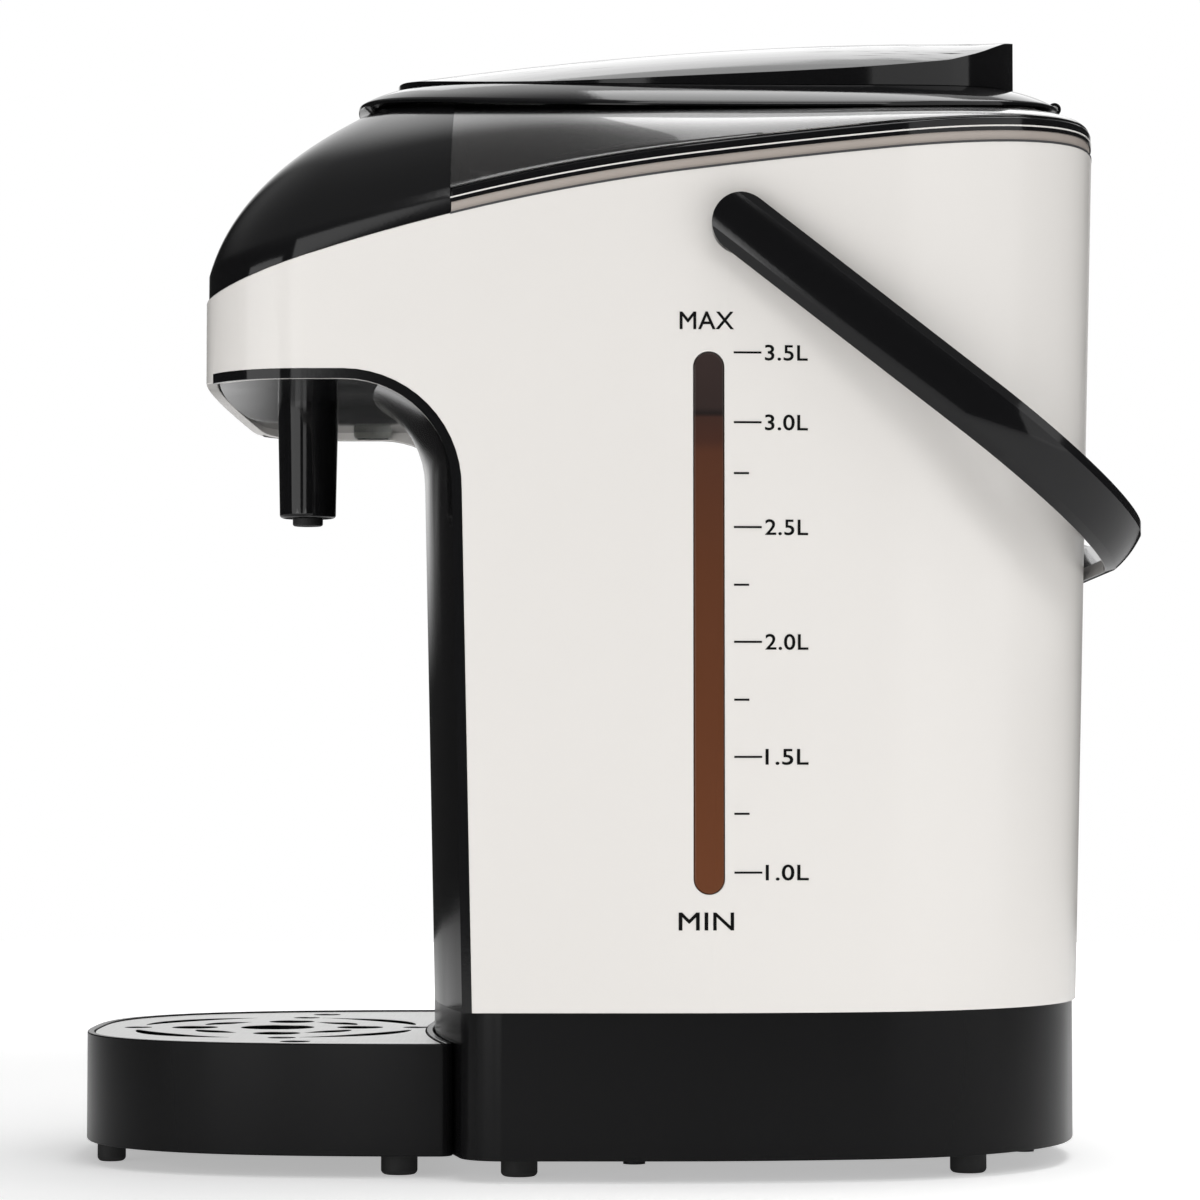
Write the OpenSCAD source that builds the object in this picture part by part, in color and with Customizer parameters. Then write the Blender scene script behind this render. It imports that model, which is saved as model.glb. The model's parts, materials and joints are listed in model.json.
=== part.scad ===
// Electric hot water dispenser with a bail handle, a hinged lid and a pull-out drip tray.
// Millimetres, +Z up, front towards -Y, origin on the table under the middle of the outline.

/* [Body] */
// Width of the white body
body_w = 200; // [194:1:206]
// Reach of the rear wall behind the origin, at the foot of the white shell
body_rear = 134.9; // [133:0.2:137]
// Backward lean of the rear wall in degrees
rear_lean = 1.4; // [1:0.1:1.8]
// Wall of the white shell
shell_wall = 3; // [2.6:0.1:3.4]
// Radius of the long curve behind the straight sides
side_r = 283; // [275:1:295]
// Radius of the rear corners
rear_corner_r = 78; // [74:1:82]
// Reach of the head's front wall ahead of the origin
head_front = 114.1; // [112:0.1:116]
// Radius of the head's front corners
head_corner_r = 28; // [24:1:32]
// Radius of the bow across the front of the head
head_bow_r = 800; // [700:10:1000]
// Height of the head's lower edge
head_bottom = 215.4; // [212:0.2:218]
// Height of the shell's top edge where its front curve meets its straight rear stretch
top_edge_z = 271.9; // [269:0.1:274]
// Slope of the straight rear stretch of the top edge in degrees
top_slope = 7.2; // [6:0.1:8]
// Radius of the front curve of the top edge
top_edge_r = 560; // [540:5:590]

/* [Arch and column] */
// Radius of the arch where the head turns down into the column
arch_r = 29.4; // [26:0.2:32]
// Reach of the arch's centre ahead of the origin
arch_y = 71.6; // [70:0.2:74]
// Lean of the column's front edge in degrees
column_lean = 1.2; // [0.8:0.1:1.6]
// Width of the black trim along the arch
trim_w = 2.6; // [2:0.1:3.2]
// Thickness of that trim
trim_t = 1.2; // [0.8:0.1:1.6]
// Radius of the bow across the column, the base front and the tray's rear edge
bow_r = 400; // [380:5:440]
// Reach of the column's middle ahead of its side edges
column_bulge = 11; // [10:0.2:12]
// Depth of the recess under the head
head_recess = 6.2; // [5:0.2:8]
// Rise of the head's lower edge at the middle of its front
lip_rise = 2.8; // [2:0.2:4]
// Wall of the front fascia
fascia_t = 2.5; // [2:0.1:3]

/* [Base] */
// Height of the base housing
base_h = 39.4; // [38:0.2:42]
// Step of the base inside the white shell
base_inset = 1; // [0.6:0.2:2]
// Wall of the base housing
base_wall = 3; // [2.6:0.1:3.4]
// Radius of the base's front corners
base_corner_r = 12; // [9:1:15]
// Thickness of the bottom cover
cover_t = 2.5; // [2:0.1:3.2]
// Height of the feet
foot_h = 6; // [5:0.2:7]
// Diameter of a base foot
foot_d = 10; // [9:0.5:11]

/* [Drip tray] */
// Width of the tray
tray_w = 170; // [164:1:174]
// Reach of the tray's front ahead of the origin
tray_front = 149.6; // [148:0.2:152]
// Height of the tray
tray_h = 30.3; // [28:0.1:32]
// Wall and floor of the tray
tray_wall = 2.5; // [2:0.1:3]
// Width of the thin rim round the grille
tray_rim = 1.9; // [1.5:0.1:2.4]
// Radius of the tray's rear corners
tray_corner_r = 4; // [3:0.5:5]
// Height of the tray's rim above the grille
rim_proud = 0.45; // [0.3:0.05:0.6]
// Thickness of the grille plate
grille_t = 1.2; // [1:0.1:1.6]
// Diameter of the hole in the middle of the grille
grille_hole_d = 21.4; // [19:0.2:24]
// Greatest width of the grille's curved slots
slot_w = 7; // [5:0.5:8]
// Reach of the grille's middle ahead of the origin
grille_y = 96.3; // [95:0.1:98]

/* [Spout] */
// Reach of the spout ahead of the origin
spout_y = 88; // [86:0.2:90]
// Diameter of the spout at its top
spout_d = 17.8; // [16:0.2:20]
// Diameter of the spout at its foot
spout_foot_d = 16.4; // [15:0.2:18]
// Height of the spout's foot
spout_z = 184.2; // [180:0.2:190]
// Diameter of the nozzle tip
nozzle_d = 8.8; // [8:0.2:10]
// Length of the nozzle tip below the spout
nozzle_l = 2.3; // [1.5:0.1:4]
// Reach of the cup lamp's middle ahead of the origin
lamp_y = 74.3; // [73:0.1:76]
// Length of the cup lamp
lamp_l = 11.8; // [10:0.2:14]
// Depth of the cup lamp below the recessed panel
lamp_h = 5.7; // [4:0.1:7]

/* [Top] */
// Plane that parts the control dome from the collar, ahead of the origin
seam_y = 42.8; // [41:0.2:45]
// Wall of the dome and of the collar
top_wall = 2.5; // [2:0.1:3]
// Height of the grey strip on the shell's top edge
strip_h = 3.4; // [3:0.1:4]
// Height of the black rim on the grey strip
rim_h = 3.2; // [2.6:0.1:3.8]
// Width of the lid
lid_w = 164; // [160:1:168]
// Length of the lid
lid_l = 204; // [200:1:208]
// Middle of the lid behind the origin
lid_y = 29; // [28:0.2:30]
// Height of the lid's underside along its middle
lid_z = 301.1; // [299:0.1:304]
// Radius of the lid's crown from side to side
crown_r = 370; // [350:2:390]
// Forward rise of the lid in degrees
lid_pitch = 0.3; // [0:0.1:1]
// Thickness of the lid flange under the lid top
flange_t = 5.6; // [5:0.1:6.5]
// Thickness of the lid flange at its edge
flange_edge = 1.2; // [1:0.1:1.8]
// Step of the lid top inside the flange
lid_step = 11.5; // [10:0.5:13]
// Height of the lid top's highest point
ridge_z = 321.9; // [320:0.1:324]
// Radius of the lid top's ridge along its length
ridge_r = 1200; // [1100:10:1300]
// Radius of the lid top from side to side
ridge_crown_r = 175; // [165:5:190]
// Rear cut of the lid's tail behind the origin
tail_y = 116.2; // [113:0.1:118]
// Diameter of the hinge pin of the lid
hinge_pin_d = 2; // [1.8:0.1:2.2]

/* [Handle] */
// Pivot of the handle behind the origin
pivot_y = 35.5; // [33:0.1:38]
// Height of the handle's pivot
pivot_z = 256.6; // [254:0.2:259]
// Drop of the resting handle below level in degrees
handle_drop = 37.9; // [37:0.1:39]
// Width of the handle strap
strap_w = 16.2; // [15:0.1:17]
// Thickness of the handle strap
strap_t = 5.2; // [5:0.1:6]
// Cut of the strap's long edges
strap_cut = 2.4; // [2:0.1:2.4]
// Gap between the body's sides and the handle
handle_gap = 2.5; // [2:0.1:3]
// Radius of the handle's rear corners
handle_corner_r = 56; // [52:1:60]
// Diameter of the pivot stubs
stub_d = 10; // [8:0.5:11]

/* [Level window] */
// Middle of the level window behind the origin
window_y = 26.7; // [25:0.1:28]
// Height of the window's lower end
window_z0 = 77.1; // [74:0.2:80]
// Height of the window's upper end
window_z1 = 222.4; // [219:0.2:226]
// Width of the window
window_w = 8; // [7:0.2:9]

/* [Water path] */
// Least gap between the tank and the side walls
tank_side_gap = 17; // [16:0.5:20]
// Gap between the tank and the rear wall
tank_rear_gap = 2.8; // [2:0.2:5]
// Gap between the tank and the riser hose
tank_front_gap = 4.9; // [3:0.2:8]
// Wall of the tank
tank_wall = 1; // [0.8:0.1:1.2]
// Height of the tank's bottom
tank_z = 49; // [48.4:0.2:51]
// Height of the top face of the deck round the tank's mouth
deck_z = 262.5; // [260:0.5:264]
// Thickness of the deck
deck_t = 3; // [2.5:0.1:3.5]
// Width of the ledge round the tank's mouth
mouth_ledge = 14; // [12:0.5:16]
// Gap between the heater plate and the suction hose
heater_gap = 4.9; // [3:0.2:8]
// Thickness of the heater plate
heater_t = 4; // [3:0.2:5]
// Outer diameter of the hoses
hose_d = 9; // [8:0.2:10]
// Bore of the hoses
hose_bore = 6.2; // [5.6:0.1:6.6]
// Gap between the riser hose and the column's front
riser_gap = 2.5; // [1.5:0.1:4]
// Bend radius of the riser hose
hose_bend_r = 10; // [9:0.5:11]
// Height of the riser hose's run over the spout
hose_run_z = 246; // [244:0.5:248]
// Distance of the tank's outlet, and of the pump under it, from the tank's front
outlet_in = 22.6; // [21:0.2:24]
// Outer radius of the pump housing
pump_r = 16; // [15:0.5:16.5]

/* [Controls] */
// Diameter of the dispense key
dispense_d = 20; // [17:0.5:22]
// Diameter of the two small keys
key_d = 12; // [10:0.5:14]
// Height of the keys above the dome
key_proud = 0.6; // [0.4:0.1:1]
// Travel of a key
key_travel = 1; // [0.6:0.1:1.4]
// Diameter of the indicator lenses
lens_d = 4.5; // [3.5:0.1:5.5]

/* [Power] */
// Width of the power inlet
inlet_w = 28; // [26:0.5:30]
// Height of the power inlet
inlet_h = 20; // [18:0.5:22]
// Depth of the power inlet
inlet_l = 20; // [18:0.5:22]

/* [Fits] */
// Gap between fixed pieces
fit = 0.2; // [0.1:0.05:0.3]
// Gap between moving pieces
free = 0.4; // [0.3:0.05:0.6]
// Radial gap of a running shaft or pin
run = 0.05; // [0.03:0.01:0.1]

/* [Hidden] */
$fn = 72;

half_w = body_w / 2;
base_top = foot_h + base_h;
far = 400;

// Arcs, mirrored halves and evenly spaced points along a path
function arc(c, r, from, to, n) =
    [for (i = [0:n]) c + r * [cos(from + (to - from) * i / n), sin(from + (to - from) * i / n)]];
function open_arc(c, r, from, to, n) = [for (i = [0:n - 1]) arc(c, r, from, to, n)[i]];
function closed(half) = concat(half, [for (i = [len(half) - 2:-1:1]) [-half[i].x, half[i].y]]);
function both_sides(right) = concat(right, [for (i = [len(right) - 2:-1:0]) [-right[i].x, right[i].y]]);
function lengths(p, i = 0, sum = 0) =
    i == len(p) - 1 ? [sum] : concat([sum], lengths(p, i + 1, sum + norm(p[i + 1] - p[i])));
function along(p, cum, s) =
    let (k = max([for (i = [0:len(p) - 2]) cum[i] <= s + 1e-9 ? i : 0]))
    p[k] + (p[k + 1] - p[k]) * (s - cum[k]) / (cum[k + 1] - cum[k]);
function spaced(p, n) = let (cum = lengths(p), all = cum[len(cum) - 1]) [for (i = [0:n]) along(p, cum, all * i / n)];
function squircle(a, b, power, angle) =
    [a * sign(cos(angle)) * pow(abs(cos(angle)), 2 / power), b * sign(sin(angle)) * pow(abs(sin(angle)), 2 / power)];
function bezier(p, q, r, t) = (1 - t) * (1 - t) * p + 2 * t * (1 - t) * q + t * t * r;

// Plan of the body: a bowed front with round corners, straight sides and a rear of three tangent arcs
side_turn = 11.8;
rear_turn = 75.5;
side_c = [half_w - side_r, 0];
corner_c = side_c + (side_r - rear_corner_r) * [cos(side_turn), sin(side_turn)];
back_r = rear_corner_r + corner_c.x / cos(rear_turn);
back_c = corner_c - (back_r - rear_corner_r) * [cos(rear_turn), sin(rear_turn)];
side_end = body_rear - back_c.y - back_r;

function rear_half(inset, shift) =
    let (o = [0, side_end + shift])
    concat(open_arc(side_c + o, side_r - inset, 0, side_turn, 4),
        open_arc(corner_c + o, rear_corner_r - inset, side_turn, rear_turn, 14),
        arc([0, back_c.y] + o, back_r - inset, rear_turn, 90, 5));
function front_turn(bow, corner, inset) = asin((half_w - inset - corner) / (bow - corner));
function front_half(front, bow, corner, outside, inset) =
    let (turn = front_turn(bow, corner, outside), c = [half_w - outside - corner,
        bow - front - (bow - corner) * cos(turn)])
    concat(open_arc([0, bow - front], bow - inset, -90, turn - 90, 5), arc(c, corner - inset, turn - 90, 0, 9));
function head_half(inset) = front_half(head_front, head_bow_r, head_corner_r, 0, inset);
function base_half(inset) =
    concat(front_half(base_front, bow_r, base_corner_r, base_inset, inset), rear_half(base_inset + inset, 0));

// Upright prism of the front and leaning prism of the rear, joined along the straight sides
split_y = side_end - 25;
lean_lap = 8;
module body_prism(inset) {
    linear_extrude(far)
        polygon(both_sides([for (i = [len(head_half(inset)):-1:0])
            i == len(head_half(inset)) ? [half_w - inset, split_y + lean_lap] : head_half(inset)[i]]));
    translate([0, 0, base_top])
        rotate([-rear_lean, 0, 0])
            translate([0, 0, -base_top])
                linear_extrude(far)
                    polygon(both_sides(concat([[half_w - inset, split_y - lean_lap]], rear_half(inset, 0))));
}

// Turns an outline in Y and Z into a slab of the given width along X
module across(w, x = 0) {
    translate([x - w / 2, 0, 0])
        rotate([90, 0, 90])
            linear_extrude(w)
                children();
}

// Top edge of the shell: a straight rear stretch and a tangent curve towards the front
edge_y = 21.6;
edge_c = [edge_y + top_edge_r * sin(top_slope), top_edge_z - top_edge_r * cos(top_slope)];
function edge_z(y) = y > edge_y ? top_edge_z + (y - edge_y) * tan(top_slope)
    : edge_c.y + sqrt(top_edge_r * top_edge_r - pow(y - edge_c.x, 2));
front_end = head_front + 15;
rear_end = body_rear + 25;
edge_steps = 16;
function edge_line(rise) = concat(
    [for (i = [0:edge_steps]) let (y = -front_end + (edge_y + front_end) * i / edge_steps) [y, edge_z(y) + rise]],
    [[rear_end, edge_z(rear_end) + rise]]);

// Front edge of the side walls: a leaning column, the arch and the head's lower edge
arch_c = [-arch_y, head_bottom - arch_r];
function arch_line(out) =
    let (r = arch_r + out, foot = arch_c + r * [cos(column_lean), -sin(column_lean)])
    concat([[foot.x + (foot.y - base_top) * tan(column_lean), base_top]], arc(arch_c, r, -column_lean, 90, 14));
function shell_profile() = concat(arch_line(0), [[-front_end, head_bottom]], edge_line(0), [[rear_end, base_top]]);
trim_end = -head_front + 6.2;
function trim_band() = concat(arch_line(0), [[trim_end, head_bottom], [trim_end, head_bottom + trim_w]],
    [for (i = [len(arch_line(trim_w)) - 1:-1:0]) arch_line(trim_w)[i]]);
column_foot = arch_line(0)[0].x;
column_top = arch_line(0)[1].x;

// Axis of the bow that the fascia, the base front and the tray share
base_front = column_bulge - column_foot;
bow_y = bow_r - base_front;
panel_z = head_bottom + head_recess;
panel_top = panel_z + fascia_t;

// Levels and places inside: the tank is the largest that the room between rear wall, sides and riser takes
cover_top = foot_h + cover_t;
seal_t = 1.5;
tank_top = deck_z - deck_t - seal_t;
riser_y = base_front - fascia_t - riser_gap - hose_d / 2;
tank_back = body_rear - shell_wall - tank_rear_gap;
tank_r = min(half_w - shell_wall - tank_side_gap, (tank_back + riser_y - hose_d / 2 - tank_front_gap) / 2);
tank_y = tank_back - tank_r;
mouth_r = tank_r - mouth_ledge;
pump_y = tank_r - outlet_in - tank_y;
heater_r = tank_r - outlet_in - hose_d / 2 - heater_gap;
top_shift = (edge_z(body_rear) - base_top) * tan(rear_lean);
top_rise = strip_h + rim_h + fit;

// Surface of the dome and the collar between the shell's top edge and the lid's edge
lid_a = lid_w / 2;
lid_b = lid_l / 2;
lid_power = 2.5;
lid_lap = 4;
top_inset = 0.6;
function lid_under(p) = lid_z - (p.y - lid_y) * tan(lid_pitch) - crown_r + sqrt(crown_r * crown_r - p.x * p.x);
function lid_line(step, from, to, n) =
    [for (i = [0:n]) [0, lid_y] + squircle(lid_a - step, lid_b - step, lid_power, from + (to - from) * i / n)];
function seam_angle(step) = -asin(pow((lid_y + seam_y) / (lid_b - step), lid_power / 2));
function dome_outer(inset) = let (h = head_half(inset))
    both_sides(concat([[half_w - inset, -seam_y]], [for (i = [len(h) - 1:-1:0]) h[i]]));
function dome_inner() = lid_line(lid_lap, seam_angle(lid_lap), -180 - seam_angle(lid_lap), 40);
function collar_outer(inset) = both_sides(concat([[half_w - inset, -seam_y]], rear_half(inset, top_shift)));
function collar_inner() = lid_line(lid_lap, seam_angle(lid_lap), 180 - seam_angle(lid_lap), 60);
function high(p, z) = [p.x, p.y, z];
bulge_in = 0.15;
bulge_up = 0.55;
function rib(o, i, rise, drop, steps) =
    let (a = high(o, edge_z(o.y) + rise), c = high(i, lid_under(i) - free - drop),
        b = high(o + (i - o) * bulge_in, a.z + (c.z - a.z) * bulge_up))
    [for (k = [0:steps]) bezier(a, b, c, k / steps)];
rib_steps = 6;
function ring(o, oi, i, foot, rise) = concat(
    [high(o, edge_z(o.y) + foot)], rib(o, i, rise, 0, rib_steps),
    [for (k = [rib_steps:-1:0]) rib(oi, i, rise, top_wall, rib_steps)[k]], [high(oi, edge_z(oi.y) + foot)]);

// Skin over a row of rings with equal numbers of points, closed by a cap at each end
module skin(rings) {
    n = len(rings[0]);
    last = len(rings) - 1;
    polyhedron([for (r = rings) for (p = r) p],
        concat([for (j = [0:last - 1]) for (i = [0:n - 1]) let (a = j * n + i, b = j * n + (i + 1) % n)
                for (f = [[a, b, b + n], [a, b + n, a + n]]) f],
            [[for (i = [n - 1:-1:0]) i]], [[for (i = [0:n - 1]) last * n + i]]));
}

dome_parts = 32;
dome_o = spaced(dome_outer(top_inset), dome_parts);
dome_oi = spaced(dome_outer(top_inset + top_wall), dome_parts);
dome_i = spaced(dome_inner(), dome_parts);
collar_parts = 44;
collar_o = spaced(collar_outer(top_inset), collar_parts);
collar_oi = spaced(collar_outer(top_inset + top_wall), collar_parts);
collar_i = spaced(collar_inner(), collar_parts);

// A place on the dome, by its share of the way round and up, with the outward normal as its Z
function dome_at(u, t) =
    let (j = u * dome_parts, k = floor(j), f = j - k, l = min(k + 1, dome_parts),
        o = dome_o[k] * (1 - f) + dome_o[l] * f, i = dome_i[k] * (1 - f) + dome_i[l] * f)
    bezier(high(o, edge_z(o.y) + top_rise),
        high(o + (i - o) * bulge_in, edge_z(o.y) + top_rise
            + (lid_under(i) - free - edge_z(o.y) - top_rise) * bulge_up),
        high(i, lid_under(i) - free), t);
function dome_normal(u, t) =
    let (n = cross(dome_at(u + 0.02, t) - dome_at(u - 0.02, t), dome_at(u, t + 0.05) - dome_at(u, t - 0.05)))
    -n / norm(n) * sign(-n.z);
module on_dome(spot) {
    n = dome_normal(spot[0], spot[1]);
    translate(dome_at(spot[0], spot[1]))
        rotate([0, acos(n.z), atan2(n.y, n.x)])
            children();
}
dispense_spot = [0.5, 0.5];
boil_spot = [0.43, 0.62];
lock_spot = [0.57, 0.62];
lens_spots = [[0.47, 0.8], [0.5, 0.8], [0.53, 0.8]];
stem_l = 6;

// Base
boss_r = 4.5;
screw_r = 1.5;
screw_head_r = 3;
ledge_w = 9;
// A place at the given depth inside the base's rear corner
function in_corner(depth, angle) =
    [corner_c.x, corner_c.y + side_end] + (rear_corner_r - base_inset - depth) * [cos(angle), sin(angle)];
boss_in = base_wall + ledge_w + 1;
function pair(p) = [p, [-p.x, p.y]];
screw_spots = concat(pair([half_w - base_inset - boss_in - 3, side_end - 6]), pair(in_corner(boss_in - 3, 66)));
module base_plan(inset) { polygon(closed(base_half(inset))); }
module inlet_room(gap) {
    translate([-inlet_w / 2 - gap, body_rear - inlet_l - 12, inlet_z - gap])
        cube([inlet_w + 2 * gap, inlet_l + 40, inlet_h + 2 * gap]);
}
inlet_z = foot_h + 10;
inlet_face = body_rear - base_inset - 1.2;

module base_housing() {
    color("#121213")
    difference() {
        union() {
            translate([0, 0, foot_h])
                linear_extrude(base_h)
                    difference() {
                        base_plan(0);
                        base_plan(base_wall);
                    }
            translate([0, 0, base_top - base_wall])
                linear_extrude(base_wall)
                    difference() {
                        base_plan(base_wall / 2);
                        base_plan(base_wall + ledge_w);
                    }
            for (s = screw_spots)
                translate([s.x, s.y, cover_top])
                    cylinder(r = boss_r, h = base_top - base_wall / 2 - cover_top);
        }
        for (s = screw_spots)
            translate([s.x, s.y, 0])
                cylinder(r = screw_r + run, h = base_top - base_wall - 1);
        inlet_room(fit);
        translate([0, -riser_y, cover_top])
            cylinder(d = hose_d + 2 * fit, h = far);
    }
}

vent_slot_l = 44;
module bottom_cover() {
    color("#1a1a1b")
    difference() {
        translate([0, 0, foot_h])
            linear_extrude(cover_t)
                base_plan(base_wall + fit);
        for (s = screw_spots)
            translate([s.x, s.y, 0])
                cylinder(r = screw_r + fit, h = far);
        for (i = [0:5])
            translate([-vent_slot_l / 2, tank_y - 37 + 14 * i, 0])
                cube([vent_slot_l, 4, far]);
    }
}

foot_in = 23;
foot_spots = concat(pair([half_w - base_inset - foot_in, 25.8 - base_front]), pair(in_corner(12.5, 43)));
module foot(d, h) {
    rotate_extrude()
        polygon([[0, 0], [d / 2 - 0.8, 0], [d / 2, 0.8], [d / 2, h], [0, h]]);
}
module base_feet() {
    color("#1d1d1e")
    for (s = foot_spots)
        translate([s.x, s.y, 0])
            foot(foot_d, foot_h);
}

module housing_screws() {
    color("silver")
    for (s = screw_spots)
        translate([s.x, s.y, 0])
            rotate_extrude()
                polygon([[0, foot_h - 2], [screw_head_r, foot_h - 2], [screw_head_r, foot_h], [screw_r, foot_h],
                    [screw_r, foot_h + 16], [0, foot_h + 16]]);
}

// Body
module window_slot(w, gap, x0, x1) {
    r = w / 2 + gap;
    across(x1 - x0, (x0 + x1) / 2) {
        translate([window_y, window_z0 + w / 2])
            circle(r);
        translate([window_y, window_z1 - w / 2])
            circle(r);
        translate([window_y - r, window_z0 + w / 2])
            square([2 * r, window_z1 - window_z0 - w]);
    }
}
module trim_solid() {
    intersection() {
        across(body_w + 2)
            polygon(trim_band());
        difference() {
            body_prism(0);
            body_prism(trim_t);
        }
    }
}
// Waste under the front of the head, whose lower edge rises towards the middle
lip_half = half_w - 14;
lip_r = (lip_half * lip_half + lip_rise * lip_rise) / (2 * lip_rise);
module lip_waste() {
    translate([0, head_corner_r - head_front, 0])
        rotate([90, 0, 0])
            linear_extrude(head_corner_r + 10)
                polygon(concat([for (i = [-8:8]) let (x = lip_half * i / 8)
                    [x, head_bottom + lip_rise - lip_r + sqrt(lip_r * lip_r - x * x)]],
                    [[lip_half, head_bottom - 5], [-lip_half, head_bottom - 5]]));
}
module body_shell() {
    color("#efeae3")
    difference() {
        intersection() {
            across(body_w + 2)
                polygon(shell_profile());
            difference() {
                body_prism(0);
                body_prism(shell_wall);
            }
        }
        trim_solid();
        lip_waste();
        window_slot(window_w, fit, half_w - shell_wall - 1, half_w + 1);
        translate([0, pivot_y, pivot_z])
            rotate([0, 90, 0])
                cylinder(d = stub_d + 2 * fit, h = body_w + 2, center = true);
    }
}

module arch_trims() {
    color("#101011")
    trim_solid();
}

panel_r = arch_r;
function fascia_profile(t) =
    let (r = panel_r + t, c = [base_front + (panel_z - panel_r - base_top) * tan(column_lean) + panel_r,
        panel_z - panel_r])
    concat([[base_front - t, base_top]], arc(c, r, 180, 90, 12), [[head_front + 20, panel_z + t]]);
module front_fascia() {
    color("#131314")
    difference() {
        intersection() {
            translate([0, bow_y, 0])
                rotate_extrude(angle = 50, start = 245, $fn = 240)
                    translate([bow_y, 0])
                        polygon(concat(fascia_profile(0), [for (i = [len(fascia_profile(fascia_t)) - 1:-1:0])
                            fascia_profile(fascia_t)[i]]));
            body_prism(shell_wall + fit);
        }
        translate([0, -spout_y, panel_z - 5])
            cylinder(d = spout_d + 2 * fit, h = 20);
    }
}

neck_r = hose_bore / 2 - 0.1;
neck_top = panel_top + 13;
module spout_body() {
    color("#0e0e0f")
    translate([0, -spout_y, 0])
        rotate_extrude()
            polygon([[nozzle_bore_r, spout_z], [spout_foot_d / 2 - 0.6, spout_z], [spout_foot_d / 2, spout_z + 0.6],
                [spout_d / 2, panel_z - 3], [spout_d / 2, panel_top], [spout_d / 2 + 2.5, panel_top],
                [spout_d / 2 + 2.5, panel_top + 2], [neck_r, panel_top + 2], [neck_r, neck_top],
                [neck_r - 1, neck_top], [neck_r - 1, spout_z + 9], [nozzle_bore_r, spout_z + 9]]);
}
nozzle_bore_r = 3.1;
module spout_nozzle() {
    color("#0b0b0c")
    translate([0, -spout_y, 0])
        rotate_extrude()
            polygon([[1.8, spout_z - nozzle_l], [nozzle_d / 2 - 0.4, spout_z - nozzle_l],
                [nozzle_d / 2, spout_z - nozzle_l + 0.4], [nozzle_d / 2, spout_z],
                [nozzle_bore_r - run, spout_z], [nozzle_bore_r - run, spout_z + 8], [1.8, spout_z + 8]]);
}

lamp_w = 6;
lamp_cut = 0.8;
module cup_lamp() {
    color("#d9dcd8")
    across(lamp_w, -half_w + shell_wall + fit + lamp_w / 2)
        translate([-lamp_y - lamp_l / 2, panel_z - 0.4 - lamp_h])
            polygon([[lamp_cut, 0], [lamp_l - lamp_cut, 0], [lamp_l, lamp_cut], [lamp_l, lamp_h], [0, lamp_h],
                [0, lamp_cut]]);
}

// Top
module control_panel() {
    color("#0c0c0d")
    difference() {
        skin([for (k = [0:dome_parts]) ring(dome_o[k], dome_oi[k], dome_i[k], fit, top_rise)]);
        on_dome(dispense_spot)
            cylinder(d = dispense_d + 2 * free, h = 30, center = true);
        for (s = [boil_spot, lock_spot])
            on_dome(s)
                cylinder(d = key_d + 2 * free, h = 30, center = true);
        for (s = lens_spots)
            on_dome(s)
                cylinder(d = lens_d + 2 * run, h = 20, center = true);
    }
}

module key(d) {
    rotate_extrude()
        polygon([[0, -top_wall - stem_l], [2, -top_wall - stem_l], [2, -top_wall - key_travel], [d / 2, -top_wall - key_travel],
            [d / 2, key_proud - 0.4], [d / 2 - 0.4, key_proud], [0, key_proud + 0.3]]);
}
module dispense_key() {
    color("#26282c")
    on_dome(dispense_spot)
        key(dispense_d);
}
module boil_key() {
    color("#26282c")
    on_dome(boil_spot)
        key(key_d);
}
module lock_key() {
    color("#26282c")
    on_dome(lock_spot)
        key(key_d);
}
module indicator_lenses() {
    color("#8c2f1e")
    for (s = lens_spots)
        on_dome(s)
            rotate_extrude()
                polygon([[0, -top_wall], [lens_d / 2, -top_wall], [lens_d / 2, -0.2], [lens_d / 2 - 0.3, 0.1],
                    [0, 0.3]]);
}

module top_collar() {
    color("#4a4644")
    skin([for (k = [collar_parts:-1:0]) ring(collar_o[k], collar_oi[k], collar_i[k], top_rise, top_rise + 0.5)]);
}

// A band of the given heights above the shell's top edge, behind the seam
module edge_band(z0, z1, in0, in1) {
    intersection() {
        across(body_w + 2)
            polygon(concat(edge_line(z0), [for (i = [len(edge_line(z1)) - 1:-1:0]) edge_line(z1)[i]]));
        difference() {
            body_prism(in0);
            body_prism(in1);
        }
        translate([-far, -seam_y + fit, 0])
            cube([2 * far, far, far]);
    }
}
module collar_strip() {
    color("#b9aaa2")
    edge_band(0, strip_h, 0.6, shell_wall);
}
module collar_rim() {
    color("#0d0d0e")
    edge_band(strip_h, strip_h + rim_h, 0.3, shell_wall);
}

bulkhead_t = 2;
module head_bulkhead() {
    color("#2b2b2d")
    translate([0, -seam_y + fit + bulkhead_t, 0])
        rotate([90, 0, 0])
            linear_extrude(bulkhead_t)
                polygon(both_sides(concat([[half_w - shell_wall - 1.5, deck_z]],
                    [for (p = rib(collar_oi[0], collar_i[0], top_rise + 0.5, top_wall, rib_steps))
                        [p.x - 0.6, p.z - 0.6]], [[collar_i[0].x - 3, collar_i[0].x > 0 ? bulkhead_top : 0]],
                    [[0, bulkhead_top]])));
}
bulkhead_top = lid_under([lid_a, 0]) - 6;

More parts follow.
